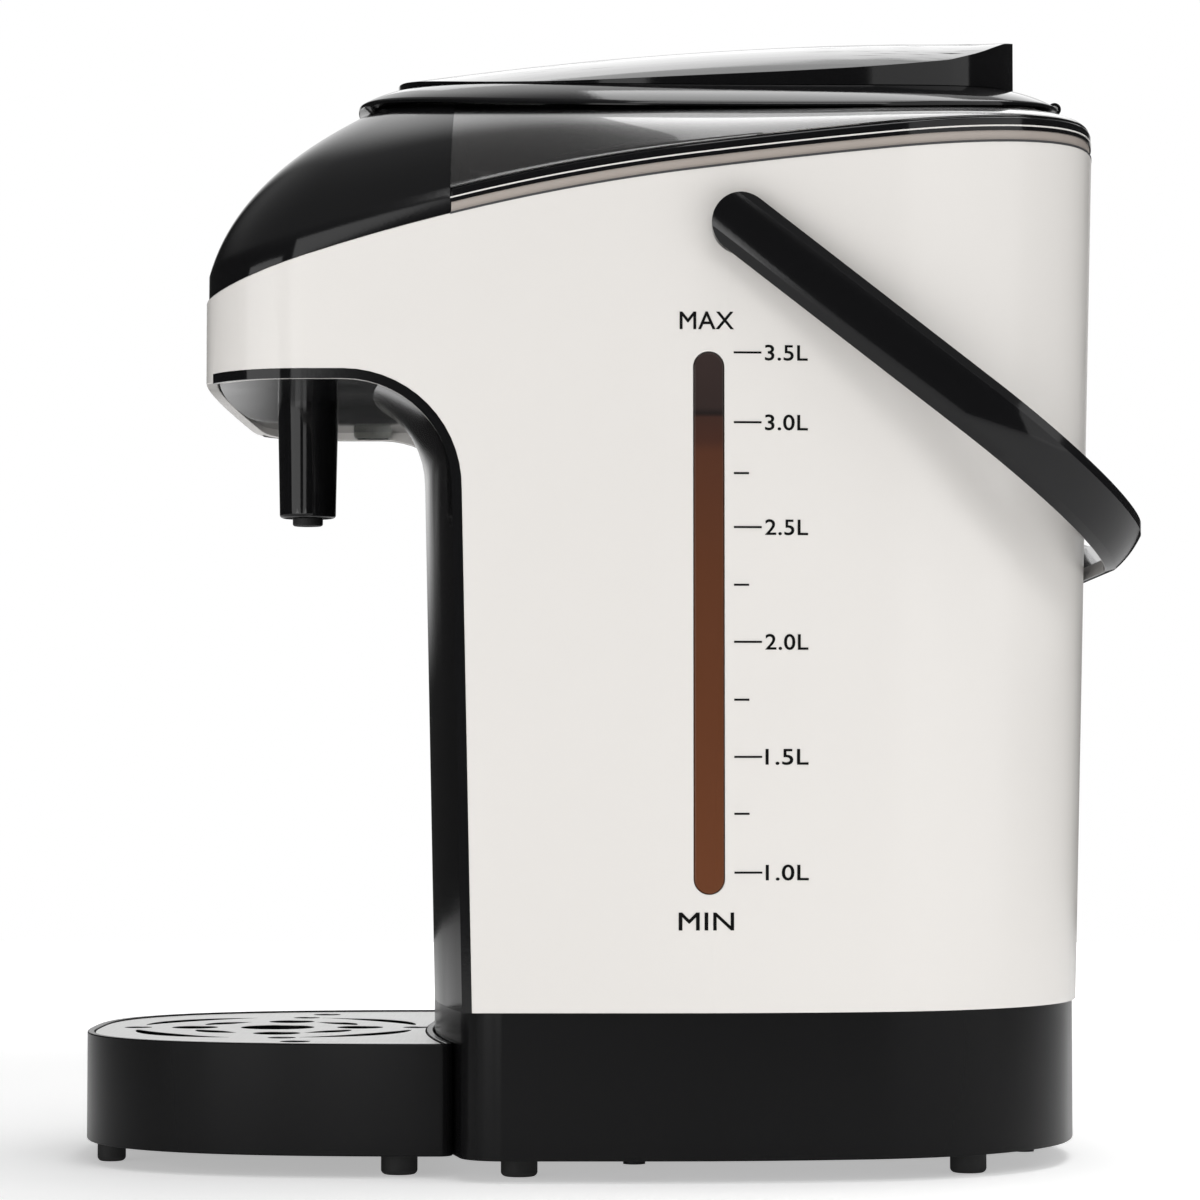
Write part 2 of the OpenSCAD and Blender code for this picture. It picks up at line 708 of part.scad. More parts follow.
// Tank and deck
module tank_deck() {
    color("#303032")
    difference() {
        intersection() {
            translate([-far, -seam_y + fit, deck_z - deck_t])
                cube([2 * far, far, deck_t]);
            body_prism(shell_wall + fit);
        }
        translate([0, tank_y, 0])
            cylinder(r = mouth_r, h = far);
        side_disc(stub_flange_r + fit, half_w - shell_wall - stub_flange_in - fit, half_w);
        mirror([1, 0, 0])
            side_disc(stub_flange_r + fit, half_w - shell_wall - stub_flange_in - fit, half_w);
    }
}
module tank_seal() {
    color("#8f8f8f")
    translate([0, tank_y, tank_top])
        difference() {
            cylinder(r = tank_r + 1, h = deck_z - deck_t - tank_top);
            translate([0, 0, -1])
                cylinder(r = tank_r - 4, h = 10);
        }
}
module water_tank() {
    color("#c9ccce")
    translate([0, tank_y, tank_z])
        difference() {
            cylinder(r = tank_r, h = tank_top - tank_z, $fn = 144);
            translate([0, 0, -1])
                cylinder(r = tank_r - tank_wall, h = far, $fn = 144);
        }
}
outlet_r = 3;
module tank_floor() {
    color("#bfc2c4")
    difference() {
        translate([0, tank_y, tank_z])
            cylinder(r = tank_r - tank_wall, h = tank_wall, $fn = 144);
        translate([0, -pump_y, tank_z - 1])
            cylinder(r = outlet_r, h = 10);
    }
}
module heater_plate() {
    color("#9a9da0")
    translate([0, tank_y, tank_z - heater_t])
        difference() {
            cylinder(r = heater_r, h = heater_t);
            translate([0, 0, -1])
                cylinder(r = 12, h = heater_t + 2);
        }
}
module thermostats() {
    color("#caa77a")
    for (x = [-1, 1])
        translate([x * (heater_r - 19), tank_y, tank_z - heater_t - 7])
            rotate_extrude()
                polygon([[0, 0], [6, 0], [6, 4], [8.5, 4], [8.5, 7], [0, 7]]);
}

// Pump
pump_z = cover_top + 13;
pump_h = 15;
module pump_housing() {
    color("#d8d6cf")
    translate([0, -pump_y, 0])
        difference() {
            union() {
                translate([0, 0, pump_z])
                    cylinder(r = pump_r, h = pump_h);
                translate([0, 0, pump_z + pump_h - 1])
                    cylinder(r = hose_bore / 2 - 0.1, h = 6);
                translate([0, 0, pump_z + pump_h / 2])
                    rotate([90, 0, 0])
                        cylinder(r = hose_bore / 2 - 0.1, h = riser_y - hose_bend_r - pump_y - 0.5);
            }
            translate([0, 0, pump_z + 2])
                cylinder(r = pump_r - 2.5, h = pump_h - 4);
            translate([0, 0, pump_z + 4])
                cylinder(r = hose_bore / 2 - 1.2, h = 40);
            translate([0, 0, pump_z + pump_h / 2])
                rotate([90, 0, 0])
                    cylinder(r = hose_bore / 2 - 1.2, h = 60);
            translate([0, 0, pump_z - 1])
                cylinder(r = shaft_r + run, h = 5);
        }
}
shaft_r = 1.5;
module pump_motor() {
    color("#7d8084")
    translate([0, -pump_y, cover_top])
        cylinder(r = 14, h = pump_z - cover_top);
}
module pump_impeller() {
    color("#e9e7e0")
    translate([0, -pump_y, pump_z]) {
        rotate_extrude()
            polygon([[0, free], [shaft_r, free], [shaft_r, 2 + free], [pump_r - 3.5, 2 + free],
                [pump_r - 3.5, 4 + free], [4, 4 + free], [4, pump_h - 2 - free], [0, pump_h - 2 - free]]);
        for (a = [0:60:359])
            rotate([0, 0, a])
                translate([3.5, -0.8, 3 + free])
                    cube([pump_r - 8.5, 1.6, pump_h - 6.5 - 2 * free]);
    }
}

// Hoses
module hose_run(d, l) {
    cylinder(d = d, h = l);
}
module hose_bend(d, from) {
    rotate([90, 0, 90])
        rotate([0, 0, from])
            rotate_extrude(angle = 90, $fn = 48)
                translate([hose_bend_r, 0])
                    circle(d = d, $fn = 36);
}
module suction_hose() {
    color("#d9d4c8")
    translate([0, -pump_y, pump_z + pump_h + fit])
        difference() {
            hose_run(hose_d, tank_z - pump_z - pump_h - 2 * fit);
            translate([0, 0, -1])
                hose_run(hose_bore, far);
        }
}
outlet_z = pump_z + pump_h / 2;
riser_in = riser_y - pump_y - pump_r - fit - hose_bend_r;
spout_end = panel_top + 2 + fit;
module riser_path(d, over) {
    translate([0, hose_bend_r - riser_y + riser_in + over, outlet_z])
        rotate([90, 0, 0])
            hose_run(d, riser_in + over);
    translate([0, hose_bend_r - riser_y, outlet_z + hose_bend_r])
        hose_bend(d, 180);
    translate([0, -riser_y, outlet_z + hose_bend_r])
        hose_run(d, hose_run_z - outlet_z - 2 * hose_bend_r);
    translate([0, -hose_bend_r - riser_y, hose_run_z - hose_bend_r])
        hose_bend(d, 0);
    translate([0, -hose_bend_r - riser_y, hose_run_z])
        rotate([90, 0, 0])
            hose_run(d, spout_y - riser_y - 2 * hose_bend_r);
    translate([0, hose_bend_r - spout_y, hose_run_z - hose_bend_r])
        hose_bend(d, 90);
    translate([0, -spout_y, spout_end - over])
        hose_run(d, hose_run_z - hose_bend_r - spout_end + over);
}
module riser_hose() {
    color("#d9d4c8")
    difference() {
        riser_path(hose_d, 0);
        riser_path(hose_bore, 1);
    }
}

// Electronics
board_w = 70;
board_l = 36;
board_t = 1.6;
board_tilt = 38;
board_y = 3.6 - spout_y;
board_z = panel_top + 42;
bracket_t = 2;
bracket_x = 30;
module tilted_board(x, t0, t1) {
    translate([0, board_y, board_z])
        rotate([board_tilt, 0, 0])
            translate([-x, -board_l / 2, t0])
                cube([2 * x, board_l, t1 - t0]);
}
module board_bracket() {
    color("#7a7c80")
    for (s = [-1, 1])
        difference() {
            translate([s * bracket_x - bracket_t / 2, board_y - 12, panel_top])
                cube([bracket_t, 26, 70]);
            translate([0, board_y, board_z])
                rotate([board_tilt, 0, 0])
                    translate([-far / 2, -far / 2, 0])
                        cube([far, far, far]);
        }
}
module control_board() {
    color("#2e6b3d")
    tilted_board(board_w / 2, 0, board_t);
}
power_w = 90;
power_l = 30;
stand_h = 4;
module power_board() {
    color("#2e6b3d")
    translate([0, inlet_face - inlet_l - 12 - power_l, cover_top + stand_h]) {
        translate([-power_w / 2, 0, 0])
            cube([power_w, power_l, board_t]);
        for (x = [-1, 1], y = [4, power_l - 4])
            translate([x * (power_w / 2 - 5), y, -stand_h])
                cylinder(r = 2.5, h = stand_h);
        translate([-30, 8, board_t])
            cube([18, 14, 11]);
        translate([10, 15, board_t])
            cylinder(r = 6, h = 13);
    }
}
pin_spots = [[-7, 0], [7, 0], [0, 4]];
module power_inlet() {
    color("#161617")
    difference() {
        translate([-inlet_w / 2, inlet_face - inlet_l, inlet_z])
            cube([inlet_w, inlet_l, inlet_h]);
        translate([-inlet_w / 2 + 2.5, inlet_face - inlet_l + 4, inlet_z + 2.5])
            cube([inlet_w - 5, inlet_l, inlet_h - 5]);
        for (p = pin_spots)
            translate([p.x - 1, inlet_face - inlet_l - 1, inlet_z + inlet_h / 2 - 3 + p.y])
                cube([2, 10, 4]);
    }
}
module inlet_pins() {
    color("#c9b27a")
    for (p = pin_spots)
        translate([p.x - 1, inlet_face - inlet_l - 6, inlet_z + inlet_h / 2 - 3 + p.y])
            cube([2, inlet_l, 4]);
}

// Level gauge
tube_d = 8;
gauge_x = half_w - shell_wall - 2 - tube_d / 2 - 1.6;
tube_z0 = 62;
tube_z1 = 236;
module wall_layer(in0, in1) {
    intersection() {
        children();
        difference() {
            body_prism(in0);
            body_prism(in1);
        }
    }
}
module level_window() {
    color("#6b3a1e")
    {
        wall_layer(0.2, shell_wall + 1)
            window_slot(window_w, 0, half_w - shell_wall - 8, half_w + 1);
        wall_layer(shell_wall, shell_wall + 2)
            window_slot(window_w, 4, half_w - shell_wall - 8, half_w + 1);
    }
}
module sight_tube() {
    color("#c8d2d6")
    translate([gauge_x, window_y, tube_z0])
        difference() {
            cylinder(d = tube_d, h = tube_z1 - tube_z0);
            translate([0, 0, -1])
                cylinder(d = tube_d - 2, h = far);
        }
}
module tube_fittings() {
    color("#3a3a3c")
    for (z = [tube_z0 - 3, tube_z1 - 9])
        difference() {
            union() {
                translate([gauge_x, window_y, z])
                    cylinder(d = tube_d + 2.4, h = 12);
                translate([0, window_y, z + 6])
                    rotate([0, 90, 0])
                        cylinder(d = 7, h = gauge_x);
            }
            translate([gauge_x, window_y, z == tube_z0 - 3 ? tube_z0 : z - 1])
                cylinder(d = tube_d + 2 * run, h = z == tube_z0 - 3 ? 20 : 10);
            translate([0, tank_y, 0])
                cylinder(r = tank_r + fit, h = far, $fn = 144);
        }
}

// Handle
stub_flange_r = 8;
stub_flange_in = 4;
stub_in = 3.2;
handle_x = half_w + handle_gap;
module side_disc(r, x0, x1) {
    translate([x0, pivot_y, pivot_z])
        rotate([0, 90, 0])
            cylinder(r = r, h = x1 - x0);
}
module right_stub() {
    side_disc(stub_d / 2, half_w - shell_wall - stub_flange_in, handle_x + stub_in);
    intersection() {
        side_disc(stub_flange_r, half_w - shell_wall - stub_flange_in, half_w);
        body_prism(shell_wall);
    }
    difference() {
        side_disc(stub_flange_r, half_w - shell_wall, handle_x - free);
        body_prism(0);
    }
}
module handle_stubs() {
    color("#111112")
    {
        right_stub();
        mirror([1, 0, 0])
            right_stub();
    }
}
grip_z = pivot_z - 88;
rear_at_grip = body_rear + (grip_z - base_top) * tan(rear_lean);
grip_in = (rear_at_grip + free - pivot_y + (strap_w / 2 - strap_cut) * sin(handle_drop)) / cos(handle_drop);
corner_at = [handle_x - handle_corner_r, grip_in - handle_corner_r];
module strap_section() {
    h = strap_w / 2;
    polygon([[0, strap_cut - h], [strap_cut, -h], [strap_t - strap_cut, -h], [strap_t, strap_cut - h],
        [strap_t, h - strap_cut], [strap_t - strap_cut, h], [strap_cut, h], [0, h - strap_cut]]);
}
module half_bail() {
    translate([handle_x, corner_at.y, 0])
        rotate([90, 0, 0])
            linear_extrude(corner_at.y + strap_w)
                strap_section();
    translate([corner_at.x, corner_at.y, 0])
        rotate_extrude(angle = 90, $fn = 144)
            translate([handle_corner_r, 0])
                strap_section();
}
module carry_handle() {
    color("#101011")
    translate([0, pivot_y, pivot_z])
        rotate([-handle_drop, 0, 0])
            difference() {
                intersection() {
                    union() {
                        half_bail();
                        mirror([1, 0, 0])
                            half_bail();
                        translate([-corner_at.x, grip_in, 0])
                            rotate([90, 0, 90])
                                linear_extrude(2 * corner_at.x)
                                    strap_section();
                    }
                    across(2 * handle_x + 4 * strap_t) {
                        circle(d = strap_w);
                        translate([0, -strap_w / 2])
                            square([far, strap_w]);
                    }
                }
                rotate([0, 90, 0])
                    cylinder(d = stub_d + 2 * run, h = 2 * (handle_x + stub_in + free), center = true);
            }
}

// Lid
module under_crown(r, z) {
    translate([0, lid_y, z])
        rotate([-lid_pitch, 0, 0])
            translate([0, 0, -r])
                rotate([90, 0, 0])
                    cylinder(r = r, h = far, center = true, $fn = 360);
}
module lid_plan(step) { polygon([for (a = [0:4:359]) [0, lid_y] + squircle(lid_a - step, lid_b - step, lid_power, a)]); }
knuckle_r = hinge_pin_d / 2 + 0.9;
hinge_y = lid_y + lid_b - knuckle_r + 0.2;
hinge_rise = 1.4;
hinge_z = lid_under([0, hinge_y]) + hinge_rise;
knuckle_x = 12;
ear_w = 4;
ear_l = knuckle_r + 2.5;
notch_x = knuckle_x + ear_w + 2 * free;
notch_y = hinge_y - ear_l - free;
skirt_r = mouth_r + 6;
skirt_z = deck_z + 24;
// Section of the rim's sloping edge, as steps inward from the outline and rises above the underside
slope_lap = 1;
function rim_slope() = [[0, 0], [0, flange_edge], [lid_step / 3, (flange_t + flange_edge) / 2 - 0.4],
    [lid_step, flange_t - 0.02], [lid_step + slope_lap, flange_t - 0.02], [lid_step + slope_lap, 0]];
module sloping_band() {
    rings = [for (a = [0:5:359]) [for (q = rim_slope())
        let (p = [0, lid_y] + squircle(lid_a - q[0], lid_b - q[0], lid_power, a)) high(p, lid_under(p) + q[1])]];
    n = len(rings[0]);
    all = n * len(rings);
    polyhedron([for (r = rings) for (p = r) p],
        [for (j = [0:len(rings) - 1]) for (i = [0:n - 1]) let (a = j * n + i, b = j * n + (i + 1) % n)
            for (f = [[a, (b + n) % all, b], [a, (a + n) % all, (b + n) % all]]) f]);
}
web_y = lid_y + lid_b - lid_step - slope_lap - 4;
module lid_rim() {
    color("#111113")
    difference() {
        sloping_band();
        translate([-notch_x, notch_y, 0])
            cube([2 * notch_x, far, far]);
        translate([-knuckle_x - fit, web_y, 0])
            cube([2 * (knuckle_x + fit), far, far]);
    }
}
module lid_flange() {
    color("#111113")
    difference() {
        union() {
            difference() {
                intersection() {
                    linear_extrude(far)
                        lid_plan(lid_step + slope_lap + fit);
                    under_crown(crown_r + flange_t, lid_z + flange_t);
                }
                under_crown(crown_r, lid_z);
            }
            intersection() {
                translate([0, tank_y, skirt_z])
                    difference() {
                        cylinder(r = skirt_r, h = 60);
                        translate([0, 0, -1])
                            cylinder(r = skirt_r - 2.5, h = 70);
                    }
                union() {
                    under_crown(crown_r - fit, lid_z - fit);
                    intersection() {
                        under_crown(crown_r + 1, lid_z + 1);
                        linear_extrude(far)
                            lid_plan(lid_step + slope_lap + 2 * fit);
                    }
                }
            }
            translate([-knuckle_x, hinge_y, hinge_z])
                rotate([0, 90, 0])
                    cylinder(r = knuckle_r, h = 2 * knuckle_x);
            translate([-knuckle_x, web_y, hinge_z - knuckle_r * 0.6])
                cube([2 * knuckle_x, hinge_y - web_y, knuckle_r * 1.2]);
        }
        translate([-far / 2, hinge_y, hinge_z])
            rotate([0, 90, 0])
                cylinder(d = hinge_pin_d + 2 * run, h = far);
    }
}
module lid_top() {
    color("#17171a")
    difference() {
        intersection() {
            linear_extrude(far)
                lid_plan(lid_step);
            translate([0, ridge_y, ridge_z - ridge_r])
                rotate([0, 90, 0])
                    rotate_extrude($fn = 360)
                        translate([ridge_r - ridge_crown_r, 0])
                            circle(ridge_crown_r, $fn = 360);
            translate([-far / 2, -far + tail_y, 0])
                cube([far, far, far]);
        }
        under_crown(crown_r + flange_t, lid_z + flange_t);
        translate([-vent_w / 2 - fit, tail_y - vent_t, vent_z - fit])
            cube([vent_w + 2 * fit, far, vent_h + 2 * fit]);
    }
}
ridge_y = 109.6;
vent_w = 30;
vent_h = 7;
vent_t = 2;
vent_z = ridge_z - 13;
module steam_vent() {
    color("#0a0a0b")
    difference() {
        translate([-vent_w / 2, tail_y - vent_t, vent_z])
            cube([vent_w, vent_t, vent_h]);
        for (i = [-4:4])
            translate([i * 3 - 0.7, tail_y - 1.5, vent_z + 1.5])
                cube([1.4, 5, vent_h - 3]);
    }
}
cover_r = skirt_r - 2.5 - fit;
gasket_t = 1.5;
module lid_inner_cover() {
    color("#c4c7c9")
    translate([0, tank_y, 0])
        rotate_extrude($fn = 120)
            polygon([[0, deck_z + gasket_t], [skirt_r + 1, deck_z + gasket_t], [skirt_r + 1, deck_z + 3.5],
                [cover_r, deck_z + 3.5], [cover_r, skirt_z + 6], [cover_r - 1.5, skirt_z + 6],
                [cover_r - 1.5, deck_z + 3.5], [0, deck_z + 3.5]]);
}
module lid_gasket() {
    color("#9a9a98")
    translate([0, tank_y, 0])
        rotate_extrude($fn = 120)
            translate([mouth_r + 2, deck_z + free])
                square([4, gasket_t - free]);
}
module hinge_ears() {
    color("#141415")
    for (s = [-1, 1])
        translate([s * (knuckle_x + free + ear_w / 2), hinge_y, hinge_z])
            difference() {
                union() {
                    rotate([0, 90, 0])
                        cylinder(r = knuckle_r, h = ear_w, center = true);
                    translate([-ear_w / 2, -ear_l, -hinge_rise - free])
                        cube([ear_w, ear_l + knuckle_r / 2, hinge_rise + free]);
                }
                rotate([0, 90, 0])
                    cylinder(d = hinge_pin_d + 2 * run, h = far, center = true);
            }
}
module lid_hinge_pin() {
    color("silver")
    translate([0, hinge_y, hinge_z])
        rotate([0, 90, 0])
            cylinder(d = hinge_pin_d, h = 2 * (knuckle_x + free + ear_w), center = true);
}

// Drip tray and grille
tray_power = 2.9;
tray_mid = -38.4;
// Waste outside a rounded rear corner of the tray
function tray_corner(step) =
    let (r = max(tray_corner_r - step, 0.6), x = tray_w / 2 - step - r,
        y = bow_y - sqrt(pow(bow_r + free + step, 2) - x * x) - r)
    concat([[tray_w / 2 + 1, y + r * sin(8)]], arc([x, y], r, 8, 90, 6), [[x, y + 12], [tray_w / 2 + 1, y + 12]]);
module tray_plan(step) {
    difference() {
        polygon([for (a = [0:3:359]) [0, tray_mid] + squircle(tray_w / 2 - step, tray_front + tray_mid - step,
            tray_power, a)]);
        translate([0, bow_y])
            circle(bow_r + free + step, $fn = 360);
        translate([-far, tray_mid + 4])
            square([2 * far, far]);
        for (s = [-1, 1])
            scale([s, 1])
                polygon(tray_corner(step));
    }
}
tray_top = foot_h + tray_h;
seat_z = tray_top - rim_proud - grille_t;
ledge = 2.5;
module drip_tray() {
    color("#121213")
    difference() {
        translate([0, 0, foot_h])
            linear_extrude(tray_h)
                tray_plan(0);
        translate([0, 0, foot_h + tray_wall])
            linear_extrude(tray_h)
                tray_plan(tray_rim + ledge);
        translate([0, 0, seat_z - fit])
            linear_extrude(tray_h)
                tray_plan(tray_rim);
    }
}
front_foot_d = foot_d - 2;
module tray_feet() {
    color("#1d1d1e")
    {
        for (s = pair([tray_w / 2 - 15, -base_front - free - 6.7]))
            translate([s.x, s.y, 0])
                foot(foot_d, foot_h);
        for (s = pair([30, 8.8 - tray_front]))
            translate([s.x, s.y, 0])
                foot(front_foot_d, foot_h);
    }
}

// Slot that follows an ellipse between two angles and narrows towards its ends
function slot(a, b, from, to, w) =
    let (n = 12) concat(
        [for (i = [0:n]) let (t = from + (to - from) * i / n, h = w / 2 * sin(180 * i / n) + 0.4)
            [(a + h) * cos(t), (b + h) * sin(t)]],
        [for (i = [n:-1:0]) let (t = from + (to - from) * i / n, h = w / 2 * sin(180 * i / n) + 0.4)
            [(a - h) * cos(t), (b - h) * sin(t)]]);
inner_a = 28.5;
inner_b = 24;
outer_a = 49;
outer_b = 40.5;
module drip_grille() {
    color("#d5d6d6")
    translate([0, 0, seat_z])
        linear_extrude(grille_t)
            difference() {
                tray_plan(tray_rim + free);
                translate([0, -grille_y]) {
                    circle(d = grille_hole_d);
                    for (q = [0:90:270]) {
                        polygon(slot(inner_a, inner_b, q + 24, q + 66, slot_w));
                        polygon(slot(outer_a, outer_b, q + 14, q + 76, slot_w));
                    }
                    for (s = [-1, 1]) {
                        translate([0, s * inner_b])
                            circle(d = 13.5);
                        translate([0, s * outer_b])
                            circle(d = 8);
                        translate([s * inner_a, 2])
                            circle(d = 13.5);
                        translate([s * outer_a, 5])
                            circle(d = 8);
                        translate([s * 66, 10])
                            circle(d = 8.5);
                    }
                }
            }
}

base_housing();
bottom_cover();
base_feet();
body_shell();
arch_trims();
front_fascia();
spout_body();
spout_nozzle();
control_panel();
indicator_lenses();
cup_lamp();
top_collar();
collar_strip();
collar_rim();
head_bulkhead();
tank_deck();
tank_seal();
water_tank();
tank_floor();
heater_plate();
thermostats();
pump_housing();
pump_motor();
pump_impeller();
suction_hose();
riser_hose();
board_bracket();
control_board();
power_board();
power_inlet();
inlet_pins();
level_window();
sight_tube();
tube_fittings();
handle_stubs();
hinge_ears();
lid_hinge_pin();
housing_screws();
drip_tray();
tray_feet();
drip_grille();
carry_handle();
lid_rim();
lid_flange();
lid_top();
lid_inner_cover();
lid_gasket();
steam_vent();
dispense_key();
boil_key();
lock_key();
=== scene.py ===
# %% [markdown]
# A counter-top hot water dispenser, dressed for a product picture. The solids, with all joints, come
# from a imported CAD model, and this file gives them rounded edges, smooth curves, finishes, printed
# marks and a studio. All is in the CAD model's own frame: +Z is up, the spout and the drip tray face -Y,
# and the level window is on the +X side. Lengths are in metres where Blender takes them directly, and in
# millimetres where an outline, a plate or a mark is worked out first and then scaled by MM.

# %% Load the CAD frame
import json
import math

import bmesh
import bpy
import numpy as np
from mathutils import Matrix, Vector

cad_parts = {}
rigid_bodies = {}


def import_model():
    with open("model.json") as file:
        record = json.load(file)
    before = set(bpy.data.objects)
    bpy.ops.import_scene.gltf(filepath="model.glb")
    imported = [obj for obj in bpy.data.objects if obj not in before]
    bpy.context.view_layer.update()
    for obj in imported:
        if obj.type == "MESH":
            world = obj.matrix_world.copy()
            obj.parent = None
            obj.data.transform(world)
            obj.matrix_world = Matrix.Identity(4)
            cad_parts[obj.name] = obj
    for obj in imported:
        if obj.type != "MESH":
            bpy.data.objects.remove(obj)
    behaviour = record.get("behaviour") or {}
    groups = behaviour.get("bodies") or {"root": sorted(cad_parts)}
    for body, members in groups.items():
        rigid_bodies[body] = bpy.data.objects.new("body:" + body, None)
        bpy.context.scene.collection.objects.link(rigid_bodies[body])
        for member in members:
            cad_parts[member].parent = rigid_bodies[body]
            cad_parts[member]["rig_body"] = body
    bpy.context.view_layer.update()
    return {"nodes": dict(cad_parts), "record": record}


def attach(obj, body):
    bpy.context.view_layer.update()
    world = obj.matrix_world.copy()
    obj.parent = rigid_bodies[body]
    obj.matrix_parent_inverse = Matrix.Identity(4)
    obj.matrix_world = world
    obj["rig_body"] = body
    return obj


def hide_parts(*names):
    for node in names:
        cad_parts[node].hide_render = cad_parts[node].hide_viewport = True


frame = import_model()
MM = 0.001
print("nodes in the frame:", len(frame["nodes"]))

# %% [markdown]
# The photograph looks straight at the side with the level window, from a little above the table and
# through a long lens. The camera therefore stands 1.19 m away on +X, at a third of the object's height,
# and tilts up by less than three degrees. With a lens this long the far side is only a little smaller.

# %% Camera
CAMERA_AT = (1.186, -0.0025, 0.1054)
CAMERA_TILT = 2.651
LENS_MM, SENSOR_MM = 121.8, 36
camera_data = bpy.data.cameras.new("camera")
camera_data.lens = LENS_MM
camera_data.sensor_width = SENSOR_MM
camera_data.clip_end = 50
camera = bpy.data.objects.new("camera", camera_data)
bpy.context.scene.collection.objects.link(camera)
camera.location = CAMERA_AT
camera.rotation_euler = (math.radians(90 + CAMERA_TILT), 0, math.radians(90))
bpy.context.scene.camera = camera
print("camera at", [round(v, 3) for v in camera.location])

# %% [markdown]
# Finishes are node materials on Object coordinates, so they stay put on their piece. Moulded plastic
# is never quite even: its colour and gloss drift a little over a few centimetres, and a very fine ripple
# bends the reflections. All three come from noise: a broad one mixes two near colours, a second moves
# the roughness and a fine one makes the bump.

# %% Plastic finishes
TONE_SCALE, GLOSS_SCALE = 14, 30
RIPPLE_DETAIL, RIPPLE_STRENGTH = 3, 0.25


def new_material(name):
    material = bpy.data.materials.new(name)
    material.use_nodes = True
    tree = material.node_tree
    return material, tree, tree.nodes["Principled BSDF"]


def add(tree, kind, **values):
    node = tree.nodes.new(kind)
    for key, value in values.items():
        if key in node.inputs:
            node.inputs[key].default_value = value
        else:
            setattr(node, key, value)
    return node


def noise_on_object(tree, scale, detail=2.0, stretch=(1, 1, 1)):
    place = tree.nodes.new("ShaderNodeTexCoord")
    mapping = add(tree, "ShaderNodeMapping", Scale=stretch)
    noise = add(tree, "ShaderNodeTexNoise", Scale=scale, Detail=detail)
    tree.links.new(place.outputs["Object"], mapping.inputs["Vector"])
    tree.links.new(mapping.outputs["Vector"], noise.inputs["Vector"])
    return noise


def spread(tree, source, low, high, start=0.0, stop=1.0, kind="LINEAR"):
    span = add(tree, "ShaderNodeMapRange", interpolation_type=kind)
    for socket, value in (("From Min", start), ("From Max", stop), ("To Min", low), ("To Max", high)):
        span.inputs[socket].default_value = value
    tree.links.new(source, span.inputs["Value"])
    return span.outputs["Result"]


def ripple(tree, shader, scale, distance):
    bump = add(tree, "ShaderNodeBump", Strength=RIPPLE_STRENGTH, Distance=distance)
    tree.links.new(noise_on_object(tree, scale, RIPPLE_DETAIL).outputs["Fac"], bump.inputs["Height"])
    tree.links.new(bump.outputs["Normal"], shader.inputs["Normal"])


def moulded(name, colour, shade, gloss, specular=0.5, grain=900, depth=0.00002):
    material, tree, shader = new_material(name)
    mix = add(tree, "ShaderNodeMix", data_type="RGBA")
    mix.inputs["A"].default_value = (*colour, 1)
    mix.inputs["B"].default_value = (*shade, 1)
    tree.links.new(noise_on_object(tree, TONE_SCALE).outputs["Fac"], mix.inputs["Factor"])
    tree.links.new(mix.outputs["Result"], shader.inputs["Base Color"])
    drift = noise_on_object(tree, GLOSS_SCALE).outputs["Fac"]
    tree.links.new(spread(tree, drift, *gloss), shader.inputs["Roughness"])
    shader.inputs["Specular IOR Level"].default_value = specular
    ripple(tree, shader, grain, depth)
    return material


white_gloss = moulded("white_gloss", (0.80, 0.775, 0.745), (0.775, 0.75, 0.72), (0.12, 0.22), 0.35)
black_gloss = moulded("black_gloss", (0.005, 0.005, 0.0054), (0.008, 0.008, 0.0086), (0.05, 0.12), 0.45)
black_fascia = moulded("black_fascia", (0.004, 0.004, 0.0042), (0.006, 0.006, 0.0062), (0.08, 0.14), 0.1)
black_base = moulded("black_base", (0.004, 0.004, 0.0043), (0.006, 0.006, 0.0063), (0.16, 0.26), 0.16)
black_rubber = moulded("black_rubber", (0.016, 0.016, 0.016), (0.024, 0.024, 0.024), (0.5, 0.7), 0.3, 1500)
dark_plastic = moulded("dark_plastic", (0.05, 0.05, 0.053), (0.065, 0.065, 0.068), (0.4, 0.55), 0.4, 1500)
key_plastic = moulded("key_plastic", (0.03, 0.032, 0.037), (0.038, 0.04, 0.045), (0.3, 0.42), 0.4,
                      1800, 0.00004)
pump_plastic = moulded("pump_plastic", (0.62, 0.6, 0.55), (0.55, 0.53, 0.48), (0.4, 0.55), 0.4)
silicone = moulded("silicone", (0.6, 0.58, 0.53), (0.52, 0.5, 0.46), (0.45, 0.6), 0.35)
strip_grey = moulded("strip_grey", (0.46, 0.41, 0.37), (0.42, 0.37, 0.335), (0.2, 0.3), 0.4)
board_green = moulded("board_green", (0.02, 0.13, 0.05), (0.03, 0.16, 0.06), (0.3, 0.5), 0.4)
print_black = moulded("print_black", (0.003, 0.003, 0.003), (0.005, 0.005, 0.005), (0.4, 0.5), 0.1)
print("plastic finishes:", len([m for m in bpy.data.materials if m.use_nodes]))

# %% [markdown]
# Rolled stainless steel is brushed: fine scratches run one way. A noise that is squeezed sixty times
# across them gives streaks for the colour, the roughness and the bump, and a metal shader does the rest.
# The tank's streaks run along Z, the others along X.

# %% Steel, brass and aluminium
STREAK_SCALE, STREAK_DETAIL, STREAK_SHADE = 40, 4, 0.82
STREAK_STRENGTH, STREAK_DEPTH = 0.12, 0.00005


